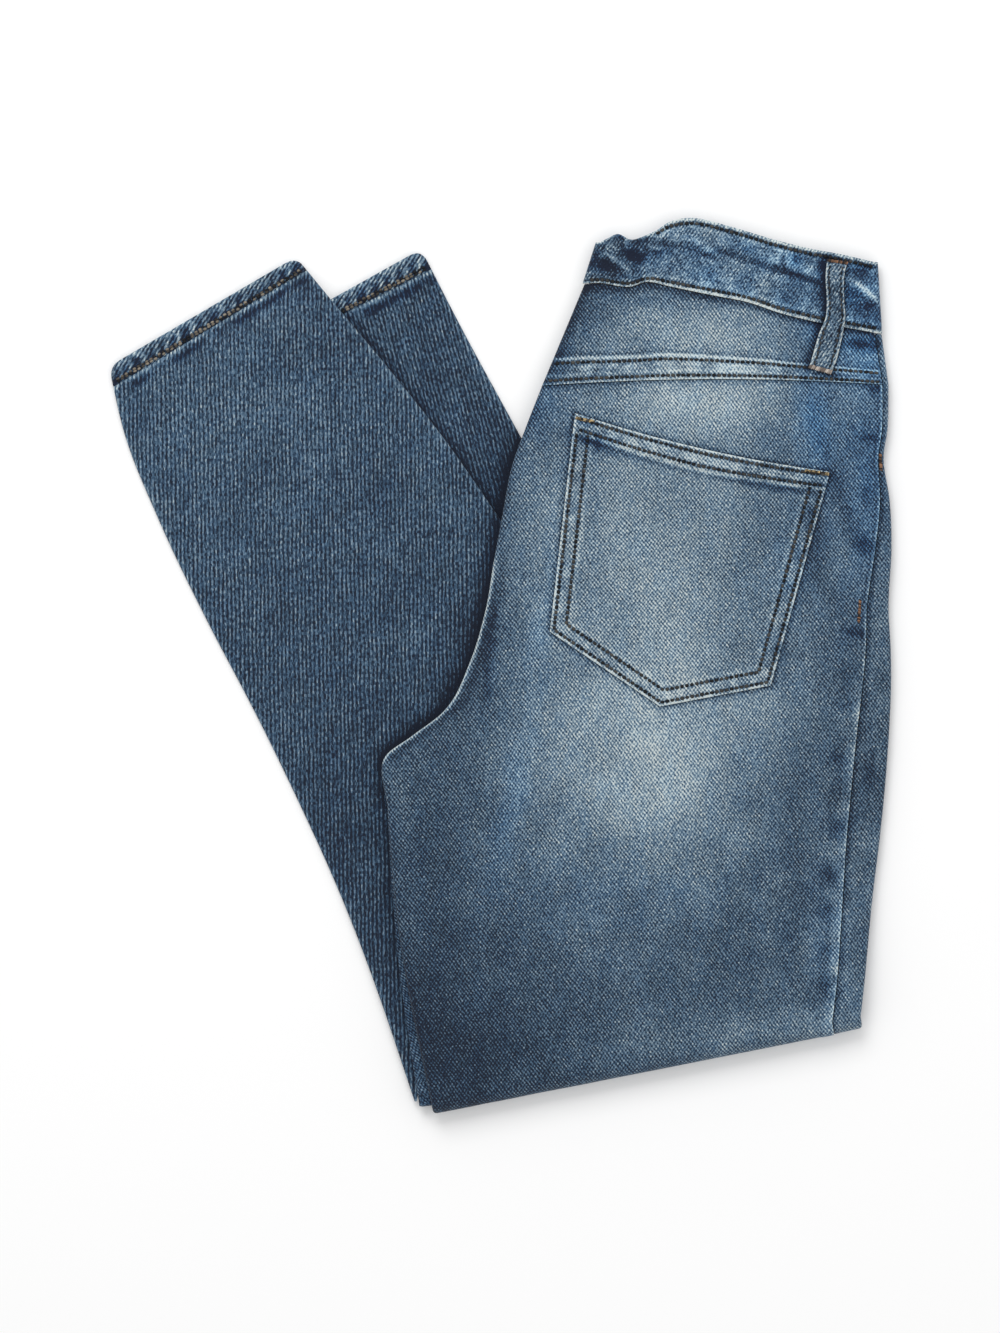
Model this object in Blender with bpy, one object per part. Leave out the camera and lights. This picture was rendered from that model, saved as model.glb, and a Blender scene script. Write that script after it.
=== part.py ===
"""Tapered denim jeans, folded in half along the centre line and then at the knee.

They lie on a table with the right back uppermost. Everything below is in millimetres until a mesh is made:
X to the right, Y towards the waist and Z up from the table. The origin is under the middle of the heap.
"""

import math

import bmesh
import bpy
import numpy as np

MM = 0.001

WALL = 1.1
BAND_WALL = 2.2
HEM_WALL = 1.8
HEM_DEPTH = 10.5
GAP = 0.3
PLY_GAP = 0.7

# The three plies under the right back, and a lower leg pressed flat.
HIDDEN_PLIES = 6.4
LEG_THICK = 2.6
HEM_THICK = 4.2
BAND_RAISE = 1.1

# Radii of the pressed edges: half of one folded tube.
BODY_EDGE = 2.0
LEG_EDGE = LEG_THICK / 2

BODY_COLUMNS = 18
BODY_STEP = 17.0
LEG_COLUMNS = 11
BAND_COLUMNS = 19
LEG_STEP = 40.0
CURL_STEPS = 4
KNEE_STEPS = 6

# The left leg lies over the right hem this far up from its own, in closer rows.
HEM_REACH = 100.0
HEM_STEP = 13.0

YOKE_SEAM = 44.0
KNEE = 427.0
YOKE_FIRST = 0.4

# How far outside the lower legs the heap starts to rise over them: its upper face and its underside.
FACE_REACH = 60.0
UNDER_REACH = 26.0
LEG_REACH = 27.0
RISE_IN = 5.0
RIGHT_LEG_RISE = LEG_THICK + 0.8
LEFT_LEG_RISE = LEG_THICK + 1.4
HEM_RISE = 2.0
HEM_RISE_FROM = 34.0
HEM_RISE_WHOLE = 12.0

# The hem's corners are rounded, and the pressed leg swells towards it.
HEM_CORNER = 6.0
HEM_ROWS = (0.0, 0.7, 2.0, 4.0, HEM_CORNER, HEM_DEPTH - 0.7, HEM_DEPTH)
HEM_DRAWS = (0.45, 0.0, 0.0, 0.0, 0.0, 0.0, 0.3)
HEM_ANGLES = (0.55, 1.1, math.pi / 2, 2.04, 2.59)
HEM_SWELL = 1.0
HEM_SWELL_LENGTH = 22.0

# The stack of hidden plies: tucked inside the upper fold, bulging as lower folds, and round the knee.
PLY_INSET = 3.8
PLY_GROOVE = 0.4
PLY_TUCK = ((2.0, 2.3), (3.1, 3.1))
PLY_FOLD_TOP = (3.1, 4.3)
KNEE_FOLD_TOP = (3.3, 4.5)
KNEE_FOLD_DEEP = 5.3
KNEE_ROWS = (KNEE - 12.0, KNEE - 7.0, KNEE)
KNEE_FLAT_FROM = KNEE - 8.0
NOSE_ANGLES = (0.45, 0.95, 1.4)
NOSE_PUSH = 0.93
NOSE_RISE = 0.99

# Where the panels of the lower legs end under the heap, and how the right front wraps its edge.
LEFT_LEG_SHORT = 19.0
RIGHT_FRONT_END = 444.0
RIGHT_BACK_SHORT = 0.5
LEAST_WRAP = 3.0
WRAP_ANGLES = (0.6, 1.2, math.pi / 2, 2.0, 2.6)

# Sections of the folded seat and thighs. down: from the waistband seam. seam_in: side seam from the right edge.
# peek: how far the left leg's plies show past the left edge. bow: rise of the middle of the row.
BODY_FIELDS = ("down", "left_x", "left_y", "right_x", "right_y", "seam_in", "peek", "bow")
BODY = (
    (44, 23.9, 159.9, 221.7, 160.5, 3.5, 0.0, 3.5),
    (69, 13.7, 133.7, 221.2, 135.9, 3.2, 0.0, 1.0),
    (87, 6.8, 114.3, 218.9, 119.4, 3.0, 0.0, 0.0),
    (112, 1.7, 88.1, 222.3, 94.9, 5.5, 0.0, 0.0),
    (139, -3.4, 60.7, 223.4, 69.3, 9.0, 0.0, 0.0),
    (171, -8.5, 31.1, 221.7, 34.5, 12.3, 0.0, 0.0),
    (198, -17.1, 2.6, 222.9, 9.4, 14.3, 0.0, 0.0),
    (226, -31.9, -25.4, 222.9, -19.1, 17.0, 0.0, 0.0),
    (244, -50.2, -39.6, 221.7, -41.9, 18.5, 0.0, 0.0),
    (262, -65.5, -51.6, 220.0, -64.7, 19.0, 0.0, 0.0),
    (291, -63.8, -81.8, 217.2, -93.2, 19.0, 0.3, 0.0),
    (338, -59.8, -133.1, 212.0, -135.9, 17.0, 1.2, 0.0),
    (381, -53.0, -179.8, 208.0, -175.8, 16.0, 3.5, 0.0),
    (KNEE, -39.3, -247.7, 205.2, -199.2, 16.5, 7.0, 0.0),
)

# Sections of each lower leg, hem to knee. seam_in: how far the front wraps under the right edge.
LEG_FIELDS = ("along", "left_x", "left_y", "right_x", "right_y", "seam_in")
LEFT_LEG = (
    (0, -223.5, 171.3, -116.5, 234.0, 0.0),
    (36, -214.3, 132.0, -95.2, 207.8, 0.0),
    (83, -194.9, 83.5, -67.3, 174.7, 0.0),
    (144, -167.6, 26.5, -30.8, 128.5, 0.0),
    (197, -142.5, -21.4, -0.6, 85.2, 0.0),
    (272, -115.7, -76.1, 51.3, 12.3, 0.0),
    (352, -90.1, -133.1, 108.3, -67.5, 0.0),
    (428, -68.4, -190.1, 162.4, -141.6, 0.0),
    (494, -47.9, -251.1, 198.4, -200.9, 0.0),
)
RIGHT_LEG = (
    (0, -153.3, 178.1, -45.0, 238.5, 4.0),
    (35, -145.3, 151.9, -25.6, 200.4, 5.0),
    (98, -130.0, 94.9, 6.8, 140.5, 6.0),
    (181, -107.7, 9.4, 44.5, 72.1, 8.0),
    (275, -84.4, -76.1, 95.2, -16.2, 10.0),
    (376, -59.8, -167.3, 149.3, -111.4, 13.0),
    (468, -39.3, -247.7, 205.2, -199.2, 16.5),
)

# Waistband: its lower seam and its upper edge, from the centre back to the side.
BAND_FIELDS = ("seam_x", "seam_y", "top_x", "top_y")
BAND = (
    (48.4, 218.6, 56.4, 241.4),
    (58.1, 218.6, 61.6, 244.2),
    (67.8, 216.9, 67.5, 246.5),
    (74.7, 216.6, 75.6, 243.4),
    (84.4, 219.3, 88.3, 248.2),
    (98.6, 216.3, 98.0, 254.0),
    (120.3, 211.8, 112.3, 255.5),
    (140.8, 207.8, 134.5, 249.9),
    (160.7, 201.2, 155.0, 243.7),
    (183.0, 195.8, 175.6, 238.5),
    (200.1, 192.7, 196.1, 234.6),
    (217.7, 189.5, 215.5, 230.0),
)

# Long soft creases pressed into the heap: x0, y0, x1, y1, half-width and height (below zero for a trough).
CREASES = (
    (202.9, 133.1, 172.7, 56.7, 16.0, -0.9),
    (206.3, -38.5, 188.7, -205.5, 12.0, 0.7),
    (-2.0, 75.0, -14.0, -25.0, 14.0, -0.9),
    (60.0, 190.0, 120.0, 205.0, 18.0, 0.6),
    (70.0, -120.0, 95.0, -210.0, 30.0, 0.7),
)
SEAT_CENTRE = (112.0, 25.0)
SEAT_SPREAD = (85.0, 120.0)
SEAT_CROWN = 1.4

POCKET_MOUTH = ((42.7, 144.2), (188.1, 110.9))
POCKET_FOOT = ((28.3, 19.8), (90.9, -22.7), (154.2, -10.8))
POCKET_SAG = 3.6
POCKET_HEM = 10.0
POCKET_DROP = 127.0
POCKET_HEM_WALL = 1.9
POCKET_GAP = 0.45
POCKET_COLUMNS = 13
POCKET_ROWS = (0.0, POCKET_HEM / POCKET_DROP, POCKET_HEM / POCKET_DROP + 0.012, 0.25, 0.4, 0.55, 0.7, 0.85, 1.0)

LOOP_FIELDS = ("left_x", "left_y", "right_x", "right_y", "lift")
LOOP = (
    (186.4, 231.7, 197.8, 230.0, 0.0),
    (185.4, 221.8, 195.9, 221.8, 0.8),
    (186.0, 208.7, 195.8, 208.9, 1.3),
    (185.4, 198.9, 196.5, 198.6, 1.3),
    (181.5, 189.1, 194.6, 187.2, 1.0),
    (178.2, 177.3, 192.0, 175.8, 0.5),
    (175.9, 170.1, 188.7, 166.7, 0.0),
)
LOOP_WALL = 2.0
LOOP_GAP = 0.45
LOOP_ROWS = 13
LOOP_SHARES = (0.0, 0.08, 0.5, 0.92, 1.0)
LOOP_EDGE = (-0.6, 0.0, 0.0, 0.0, -0.6)

# The loop steps up from the yoke onto the waistband between these heights on the plan.
LOOP_STEP = (176.0, 196.0)

# Rows of the waistband with the fall of its rounded upper edge, its rolled ends, and the plies under it.
BAND_ROWS = ((0.0, 0.0), (0.35, 0.0), (0.7, 0.0), (0.955, 0.0), (1.0, 0.8))
BAND_SPAN = (0.012, 0.988)
BAND_END = 2.6
BAND_END_FROM = 0.5
BAND_INNER_FALL = 0.45
BAND_PLY_ROWS = 14
BAND_PLY_SPAN = (0.022, 0.978)
BAND_PLY_SHARES = (0.03, 0.35, 0.7, 0.94)
BAND_PLY_SEAM = 0.02
BAND_PLY_SIDE = (0.05, 0.93)
BAND_EDGE = (
    (0.972, 0.93),
    (0.985, 0.84),
    (0.972, 0.72),
    (0.955, 0.66),
    (0.98, 0.58),
    (0.992, 0.48),
    (0.98, 0.38),
    (0.957, 0.34),
    (0.975, 0.26),
    (0.985, 0.15),
    (0.975, 0.05),
)

INDIGO = (0.13, 0.20, 0.31, 1.0)
PALE_INDIGO = (0.24, 0.34, 0.46, 1.0)
DARK_INDIGO = (0.10, 0.16, 0.26, 1.0)


def clear_scene():
    for item in list(bpy.data.objects):
        bpy.data.objects.remove(item, do_unlink=True)


def denim(name, colour):
    material = bpy.data.materials.new(name)
    material.use_nodes = True
    shader = material.node_tree.nodes["Principled BSDF"]
    shader.inputs["Base Color"].default_value = colour
    shader.inputs["Roughness"].default_value = 0.9
    shader.inputs["Metallic"].default_value = 0.0
    return material


def column(table, fields, name):
    return np.array([row[fields.index(name)] for row in table], float)


def smooth(stations, values, at):
    """A smooth curve through one column of a table, read at one or more stations."""
    slopes = np.gradient(values, stations)
    at = np.clip(at, stations[0], stations[-1])
    i = np.clip(np.searchsorted(stations, at, side="right") - 1, 0, len(stations) - 2)
    width = stations[i + 1] - stations[i]
    t = (at - stations[i]) / width
    start = values[i] * (1 + 2 * t) * (1 - t) ** 2 + slopes[i] * width * t * (1 - t) ** 2
    end = values[i + 1] * t * t * (3 - 2 * t) + slopes[i + 1] * width * t * t * (t - 1)
    return start + end


def read(table, fields, key, at, names):
    stations = column(table, fields, key)
    return [float(smooth(stations, column(table, fields, name), at)) for name in names]


def ramp(value, low, high):
    t = np.clip((value - low) / (high - low), 0.0, 1.0)
    return t * t * (3 - 2 * t)


def outline(table):
    left = [(row[1], row[2]) for row in table]
    right = [(row[3], row[4]) for row in table]
    return np.array(left + right[::-1])


def inside(x, y, corners):
    """Distance in from an outline, and below zero outside it."""
    x = np.asarray(x, float)
    y = np.asarray(y, float)
    nearest = np.full(x.shape, 1e9)
    within = np.zeros(x.shape, bool)
    for (ax, ay), (bx, by) in zip(corners, np.roll(corners, -1, axis=0)):
        ex, ey = bx - ax, by - ay
        t = np.clip(((x - ax) * ex + (y - ay) * ey) / (ex * ex + ey * ey), 0.0, 1.0)
        nearest = np.minimum(nearest, np.hypot(x - ax - t * ex, y - ay - t * ey))
        crosses = (ay > y) != (by > y)
        if ey:
            within ^= crosses & (x < ax + (y - ay) * ex / ey)
    return np.where(within, nearest, -nearest)


LEFT_OUTLINE = outline(LEFT_LEG)
RIGHT_OUTLINE = outline(RIGHT_LEG)


def hem_bump(x, y):
    """The lower hem's extra plies, as they lift what lies on them."""
    (x0, y0), (x1, y1) = RIGHT_LEG[0][1:3], RIGHT_LEG[0][3:5]
    ex, ey = x1 - x0, y1 - y0
    t = np.clip(((x - x0) * ex + (y - y0) * ey) / (ex * ex + ey * ey), 0.0, 1.0)
    off = np.hypot(x - x0 - t * ex, y - y0 - t * ey)
    return HEM_RISE * (1 - ramp(off, HEM_RISE_WHOLE, HEM_RISE_FROM))


def left_leg_base(x, y):
    """Underside of the left leg: on the table, and over the right leg where they cross."""
    over = inside(x, y, RIGHT_OUTLINE)
    return ramp(over, -LEG_REACH, 0.0) * (RIGHT_LEG_RISE + hem_bump(x, y))


def body_base(x, y, reach):
    """Underside of the seat and thighs, rising over the two lower legs from `reach` outside them."""
    right = ramp(inside(x, y, RIGHT_OUTLINE), -reach, RISE_IN) * RIGHT_LEG_RISE
    left = ramp(inside(x, y, LEFT_OUTLINE), -reach, RISE_IN) * LEFT_LEG_RISE
    return right + left


def crease_height(x, y):
    total = np.zeros(np.shape(x))
    for x0, y0, x1, y1, half_width, height in CREASES:
        ex, ey = x1 - x0, y1 - y0
        length = math.hypot(ex, ey)
        along = ((x - x0) * ex + (y - y0) * ey) / length
        off = ((x - x0) * ey - (y - y0) * ex) / length
        ends = ramp(along, -0.15 * length, 0.3 * length) * (1 - ramp(along, 0.7 * length, 1.15 * length))
        total = total + height * ends * np.exp(-((off / half_width) ** 2))
    return total


def body_top(x, y):
    """Outer face of the right back, yoke and side strip."""
    dx = (x - SEAT_CENTRE[0]) / SEAT_SPREAD[0]
    dy = (y - SEAT_CENTRE[1]) / SEAT_SPREAD[1]
    crown = SEAT_CROWN * np.exp(-dx * dx - dy * dy)
    plies = HIDDEN_PLIES + GAP + WALL
    return body_base(x, y, FACE_REACH) + plies + crown + crease_height(x, y)


def band_point(t, rise):
    """A point of the waistband's face: t from the centre back to the side, rise from seam to upper edge."""
    stations = np.linspace(0.0, 1.0, len(BAND))
    seam_x, seam_y, top_x, top_y = (
        smooth(stations, column(BAND, BAND_FIELDS, name), t) for name in BAND_FIELDS
    )
    return seam_x + (top_x - seam_x) * rise, seam_y + (top_y - seam_y) * rise


def body_row(down):
    """Ends of a body section, its side seam and its bow."""
    names = BODY_FIELDS[1:]
    return read(BODY, BODY_FIELDS, "down", down, names)


def body_xy(down, share):
    """Plan position on the body: share runs from the left edge, 0, to the right edge, 1."""
    share = np.asarray(share, float)
    lx, ly, rx, ry, _, _, bow = body_row(max(down, YOKE_SEAM))
    x = lx + (rx - lx) * share
    y = ly + (ry - ly) * share + 4 * bow * share * (1 - share)
    if down < YOKE_SEAM:
        seam_x, seam_y = band_point(share, 0.0)
        part = down / YOKE_SEAM
        x = seam_x + (x - seam_x) * part
        y = seam_y + (y - seam_y) * part
    return x, y


def body_width(down):
    x, y = body_xy(down, np.array([0.0, 1.0]))
    return math.hypot(x[1] - x[0], y[1] - y[0])


def arc_offsets(radius, reach, start, count):
    """Inset and depth of points round a pressed edge, from angle `start` up to the flat face."""
    angles = np.linspace(start, math.pi, count + 1)[:-1]
    return [(radius - reach * math.sin(a), radius + reach * math.cos(a)) for a in angles]


def body_section(down, low, high, depth, left_curl, right_curl):
    """Points across the body from `low` to `high` mm off the left edge, `depth` inside the outer face."""
    width = body_width(down)
    stops = [(low + (high - low) * j / (BODY_COLUMNS - 1), depth) for j in range(BODY_COLUMNS)]
    if not left_curl:
        stops = [(low + (high - low) * j / 2, depth) for j in range(3)]
    curl = arc_offsets(BODY_EDGE, BODY_EDGE - depth, 0.0, CURL_STEPS)
    if left_curl:
        stops = curl + stops
    if right_curl:
        stops = stops + [(width - inset, deep) for inset, deep in reversed(curl)]
    across = np.array([stop[0] for stop in stops])
    deep = np.array([stop[1] for stop in stops])
    x, y = body_xy(down, across / width)
    return np.stack([x, y, body_top(x, y) - deep], axis=1)


def knee_outward():
    """Plan direction out over the knee fold, square to the knee section."""
    left = np.array([BODY[-1][1], BODY[-1][2]])
    right = np.array([BODY[-1][3], BODY[-1][4]])
    along = (right - left) / np.linalg.norm(right - left)
    return np.array([along[1], -along[0]])


def round_knee(row, angle, middle):
    """A section at the knee turned round the fold by `angle`; `middle` is the height it turns about."""
    out = knee_outward()
    high = row[:, 2] - middle
    turned = row.copy()
    turned[:, 0] += out[0] * high * math.sin(angle)
    turned[:, 1] += out[1] * high * math.sin(angle)
    turned[:, 2] = middle + high * math.cos(angle)
    return turned


def knee_middle(row):
    """Half the height of the outer face at each point of the knee section."""
    return body_top(row[:, 0], row[:, 1]) / 2


def stations(first, last, step):
    count = max(2, int(round((last - first) / step)) + 1)
    return np.linspace(first, last, count)


def skin(first, last, which, with_knee):
    """Outer and inner grids of a piece of the right leg's upper face."""
    outer, inner = [], []
    for down in stations(first, last, BODY_STEP):
        width = body_width(down)
        seam = width - body_row(max(down, YOKE_SEAM))[4]
        for depth, grid in ((0.0, outer), (WALL, inner)):
            if which == "back":
                section = body_section(down, BODY_EDGE, seam - GAP, depth, True, False)
            else:
                section = body_section(down, seam + GAP, width - BODY_EDGE, depth, False, True)
            grid.append(section)
    if with_knee:
        for grid in (outer, inner):
            last = grid[-1]
            middle = knee_middle(last)
            for step in range(1, KNEE_STEPS + 1):
                grid.append(round_knee(last, math.pi * step / KNEE_STEPS, middle))
    return np.array(outer), np.array(inner)


def new_object(name, points, faces, material):
    mesh = bpy.data.meshes.new(name)
    mesh.from_pydata([tuple(p) for p in np.asarray(points) * MM], [], faces)
    work = bmesh.new()
    work.from_mesh(mesh)
    bmesh.ops.recalc_face_normals(work, faces=work.faces)
    if work.calc_volume(signed=True) < 0:
        bmesh.ops.reverse_faces(work, faces=work.faces)
    work.to_mesh(mesh)
    work.free()
    mesh.shade_smooth()
    mesh.set_sharp_from_angle(angle=math.radians(40))
    mesh.materials.append(material)
    made = bpy.data.objects.new(name, mesh)
    bpy.context.scene.collection.objects.link(made)
    return made


def wall_between(name, outer, inner, material):
    """A closed wall from an outer and an inner grid of points."""
    rows, columns = outer.shape[:2]
    total = rows * columns
    points = np.concatenate([outer.reshape(-1, 3), inner.reshape(-1, 3)])
    faces = []
    for r in range(rows - 1):
        for c in range(columns - 1):
            a = r * columns + c
            quad = (a, a + 1, a + columns + 1, a + columns)
            faces.append(quad)
            faces.append(tuple(v + total for v in reversed(quad)))
    rim = [c for c in range(columns)]
    rim += [r * columns + columns - 1 for r in range(1, rows)]
    rim += [(rows - 1) * columns + c for c in range(columns - 2, -1, -1)]
    rim += [r * columns for r in range(rows - 2, 0, -1)]
    for a, b in zip(rim, rim[1:] + rim[:1]):
        faces.append((b, a, a + total, b + total))
    return new_object(name, points, faces, material)


def solid_through(name, rings, top_count, side_count, material):
    """A solid through rings that run: top columns, right side, bottom columns, left side."""
    rings = np.array(rings)
    rows, around = rings.shape[:2]
    faces = []
    for r in range(rows - 1):
        for c in range(around):
            d = (c + 1) % around
            faces.append((r * around + c, r * around + d, (r + 1) * around + d, (r + 1) * around + c))
    for base in (0, (rows - 1) * around):
        bottom = top_count + side_count
        for j in range(top_count - 1):
            low = bottom + top_count - 1 - j
            faces.append((base + j, base + j + 1, base + low - 1, base + low))
        faces.append(tuple(base + k for k in range(top_count - 1, bottom + 1)))
        last = bottom + top_count - 1
        faces.append(tuple(base + k for k in range(last, around)) + (base,))
    return new_object(name, rings.reshape(-1, 3), faces, material)


def ply_side(total, peek, in_knee=False):
    """Inset and depth down one side of the hidden plies: inside the upper leg, a groove, the lower leg."""
    if in_knee:
        foot = total + WALL + PLY_GAP
        inset, deep = KNEE_FOLD_TOP
        bulge = [(-peek, KNEE_FOLD_DEEP), (-peek, foot - KNEE_FOLD_DEEP)]
        return list(PLY_TUCK) + [(inset, deep)] + bulge + [(inset, foot - deep)]
    lower = BODY_EDGE * 2 + GAP + PLY_GROOVE
    middle = (lower + total) / 2
    bulge = [(1.0 - peek, lower + 0.2), (-peek, middle), (1.0 - peek, total - 0.5)]
    return list(PLY_TUCK) + [PLY_FOLD_TOP] + bulge


def hidden_layers(material):
    """The right front and the whole left half, as one rounded solid that shows as plies at its edges."""
    depth = WALL + PLY_GAP
    yoke = stations(YOKE_FIRST, YOKE_SEAM - GAP / 2, BODY_STEP)
    back = stations(YOKE_SEAM + GAP / 2, KNEE, BODY_STEP)
    rows = [YOKE_FIRST + 1.0] + list(yoke[1:-1]) + list(back[:-1]) + list(KNEE_ROWS)
    rings = []
    for down in rows:
        width = body_width(down)
        peek = body_row(max(down, YOKE_SEAM))[5]
        near_knee = down > KNEE_FLAT_FROM
        across = np.linspace(PLY_INSET, width - PLY_INSET, BODY_COLUMNS)
        x, y = body_xy(down, across / width)
        top = np.stack([x, y, body_top(x, y) - depth], axis=1)
        low = np.full(len(x), depth) if near_knee else body_base(x, y, UNDER_REACH)
        bottom = np.stack([x, y, low], axis=1)
        sides = []
        for edge, sign, out in ((0.0, 1.0, peek), (width, -1.0, 0.0)):
            end = 0 if sign > 0 else -1
            total = float(body_top(x[end], y[end]) - low[end])
            steps = ply_side(total, out, down == KNEE)
            sx, sy = body_xy(down, np.array([(edge + sign * inset) / width for inset, _ in steps]))
            height = body_top(sx, sy) - np.array([deep for _, deep in steps])
            sides.append(np.stack([sx, sy, height], axis=1))
        rings.append(np.concatenate([top, sides[1], bottom[::-1], sides[0][::-1]]))
    last = rings[-1]
    middle = knee_middle(last)
    out = knee_outward()
    high = last[:, 2] - middle
    for angle in NOSE_ANGLES:
        turned = last.copy()
        push = np.abs(high) * math.sin(angle) * NOSE_PUSH
        turned[:, 0] += out[0] * push
        turned[:, 1] += out[1] * push
        turned[:, 2] = middle + high * math.cos(angle) * NOSE_RISE
        rings.append(turned)
    return solid_through("hidden_layers", rings, BODY_COLUMNS, len(ply_side(1, 0)), material)


def leg_row(table, along):
    return read(table, LEG_FIELDS, "along", along, LEG_FIELDS[1:])


def leg_points(table, along, stops, base):
    """Points of a lower leg's section: stops are (mm off the left edge, height above the leg's underside)."""
    lx, ly, rx, ry, _ = leg_row(table, along)
    width = math.hypot(rx - lx, ry - ly)
    across = np.array([stop[0] for stop in stops])
    high = np.array([stop[1] for stop in stops])
    x = lx + (rx - lx) * across / width
    y = ly + (ry - ly) * across / width
    return np.stack([x, y, base(x, y) + high], axis=1)


def on_table(x, y):
    return np.zeros(np.shape(x))


def hem_lift(along):
    """Extra thickness of a pressed leg close to its hem."""
    return HEM_SWELL * math.exp(-max(along - HEM_DEPTH, 0.0) / HEM_SWELL_LENGTH)


def quarter(radius, reach):
    """Inset and depth for a quarter-round edge, from the seam up."""
    return arc_offsets(radius, reach, math.pi / 2, 3)


def leg_wall(name, table, base, upper, first, last, material):
    """One panel of a lower leg from side seam to side seam, upper or under face."""
    seam = GAP / 2
    outer, inner = [], []
    near = stations(first, HEM_REACH, HEM_STEP)
    for along in list(near[:-1]) + list(stations(HEM_REACH, last, LEG_STEP)):
        lx, ly, rx, ry, _ = leg_row(table, along)
        width = math.hypot(rx - lx, ry - ly)
        thick = LEG_THICK + hem_lift(along) if upper else LEG_THICK
        for depth, grid in ((0.0, outer), (WALL, inner)):
            curl = quarter(LEG_EDGE, LEG_EDGE - depth)
            flat = np.linspace(LEG_EDGE, width - LEG_EDGE, LEG_COLUMNS)
            stops = curl + [(a, depth) for a in flat] + [(width - i, d) for i, d in reversed(curl)]
            if upper:
                shift = LEG_THICK / 2 + seam
                rise = (thick - shift) / (LEG_THICK / 2)
                stops = [(a, shift + (LEG_EDGE - d) * rise) for a, d in stops]
            else:
                squeeze = (LEG_EDGE - seam) / LEG_EDGE
                stops = [(a, d * squeeze) for a, d in stops]
            grid.append(leg_points(table, along, stops, base))
    return wall_between(name, np.array(outer), np.array(inner), material)


def right_front_calf(material):
    """Lower leg's upper face, round its right edge to the seam on the underside."""
    outer, inner = [], []
    for along in stations(HEM_DEPTH + GAP, RIGHT_FRONT_END, LEG_STEP):
        lx, ly, rx, ry, seam_in = leg_row(RIGHT_LEG, along)
        width = math.hypot(rx - lx, ry - ly)
        thick = LEG_THICK + hem_lift(along)
        for depth, grid in ((0.0, outer), (WALL, inner)):
            reach = LEG_EDGE - depth
            stops = []
            for angle in np.linspace(math.pi / 2, math.pi, 4)[:-1]:
                inset = LEG_EDGE - reach * math.sin(angle)
                height = LEG_EDGE + GAP / 2 - (reach - GAP / 2) * math.cos(angle)
                stops.append((inset, height * thick / LEG_THICK))
            for a in np.linspace(LEG_EDGE, width - LEG_EDGE, LEG_COLUMNS):
                stops.append((a, thick - depth))
            for angle in WRAP_ANGLES:
                inset = LEG_EDGE - reach * math.sin(angle)
                height = LEG_EDGE + reach * math.cos(angle)
                stops.append((width - inset, height * (thick / LEG_THICK if height > LEG_EDGE else 1.0)))
            stops.append((width - LEG_EDGE, depth))
            stops.append((width - max(seam_in, LEAST_WRAP), depth))
            grid.append(leg_points(RIGHT_LEG, along, stops, on_table))
    return wall_between("front_right_calf", np.array(outer), np.array(inner), material)


def right_back_calf(material):
    """The right back under the fold: flat on the table, from the knee to the hem."""
    outer, inner = [], []
    for along in stations(HEM_DEPTH + GAP, RIGHT_LEG[-1][0] - RIGHT_BACK_SHORT, LEG_STEP):
        lx, ly, rx, ry, seam_in = leg_row(RIGHT_LEG, along)
        width = math.hypot(rx - lx, ry - ly)
        for depth, grid in ((0.0, outer), (WALL, inner)):
            reach = LEG_EDGE - depth
            stops = []
            for angle in np.linspace(math.pi / 2, math.pi, 4)[:-1]:
                inset = LEG_EDGE - reach * math.sin(angle)
                stops.append((inset, (LEG_EDGE + reach * math.cos(angle)) * (1 - GAP / 2 / LEG_EDGE)))
            right = width - max(seam_in, LEAST_WRAP) - GAP
            for a in np.linspace(LEG_EDGE, right, LEG_COLUMNS):
                stops.append((a, depth))
            grid.append(leg_points(RIGHT_LEG, along, stops, on_table))
    return wall_between("back_right_calf", np.array(outer), np.array(inner), material)


def hem_tube(name, table, base, material):
    """A turned-up hem: a flattened ring whose slit is the leg's opening, with rounded corners."""
    radius = HEM_THICK / 2
    outer, inner = [], []
    for along, draw in zip(HEM_ROWS, HEM_DRAWS):
        lx, ly, rx, ry, _ = leg_row(table, along)
        width = math.hypot(rx - lx, ry - ly)
        short = HEM_CORNER - min(along, HEM_CORNER)
        low = HEM_CORNER - math.sqrt(HEM_CORNER**2 - short**2) + radius
        high = width - low
        for reach, grid in ((radius - draw, outer), (radius - HEM_WALL, inner)):
            stops = [(a, radius + reach) for a in np.linspace(low, high, LEG_COLUMNS)]
            stops += [(high + reach * math.sin(a), radius + reach * math.cos(a)) for a in HEM_ANGLES]
            stops += [(a, radius - reach) for a in np.linspace(high, low, LEG_COLUMNS)]
            stops += [(low - reach * math.sin(a), radius + reach * math.cos(a)) for a in reversed(HEM_ANGLES)]
            grid.append(leg_points(table, along, stops, base))
    outer, inner = np.array(outer), np.array(inner)
    count, around = outer.shape[:2]
    total = count * around
    faces = []
    for c in range(around):
        d = (c + 1) % around
        for r in range(count - 1):
            quad = (r * around + c, r * around + d, (r + 1) * around + d, (r + 1) * around + c)
            faces.append(quad)
            faces.append(tuple(v + total for v in reversed(quad)))
        faces.append((d, c, c + total, d + total))
        last = (count - 1) * around
        faces.append((last + c, last + d, last + d + total, last + c + total))
    points = np.concatenate([outer.reshape(-1, 3), inner.reshape(-1, 3)])
    return new_object(name, points, faces, material)


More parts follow.
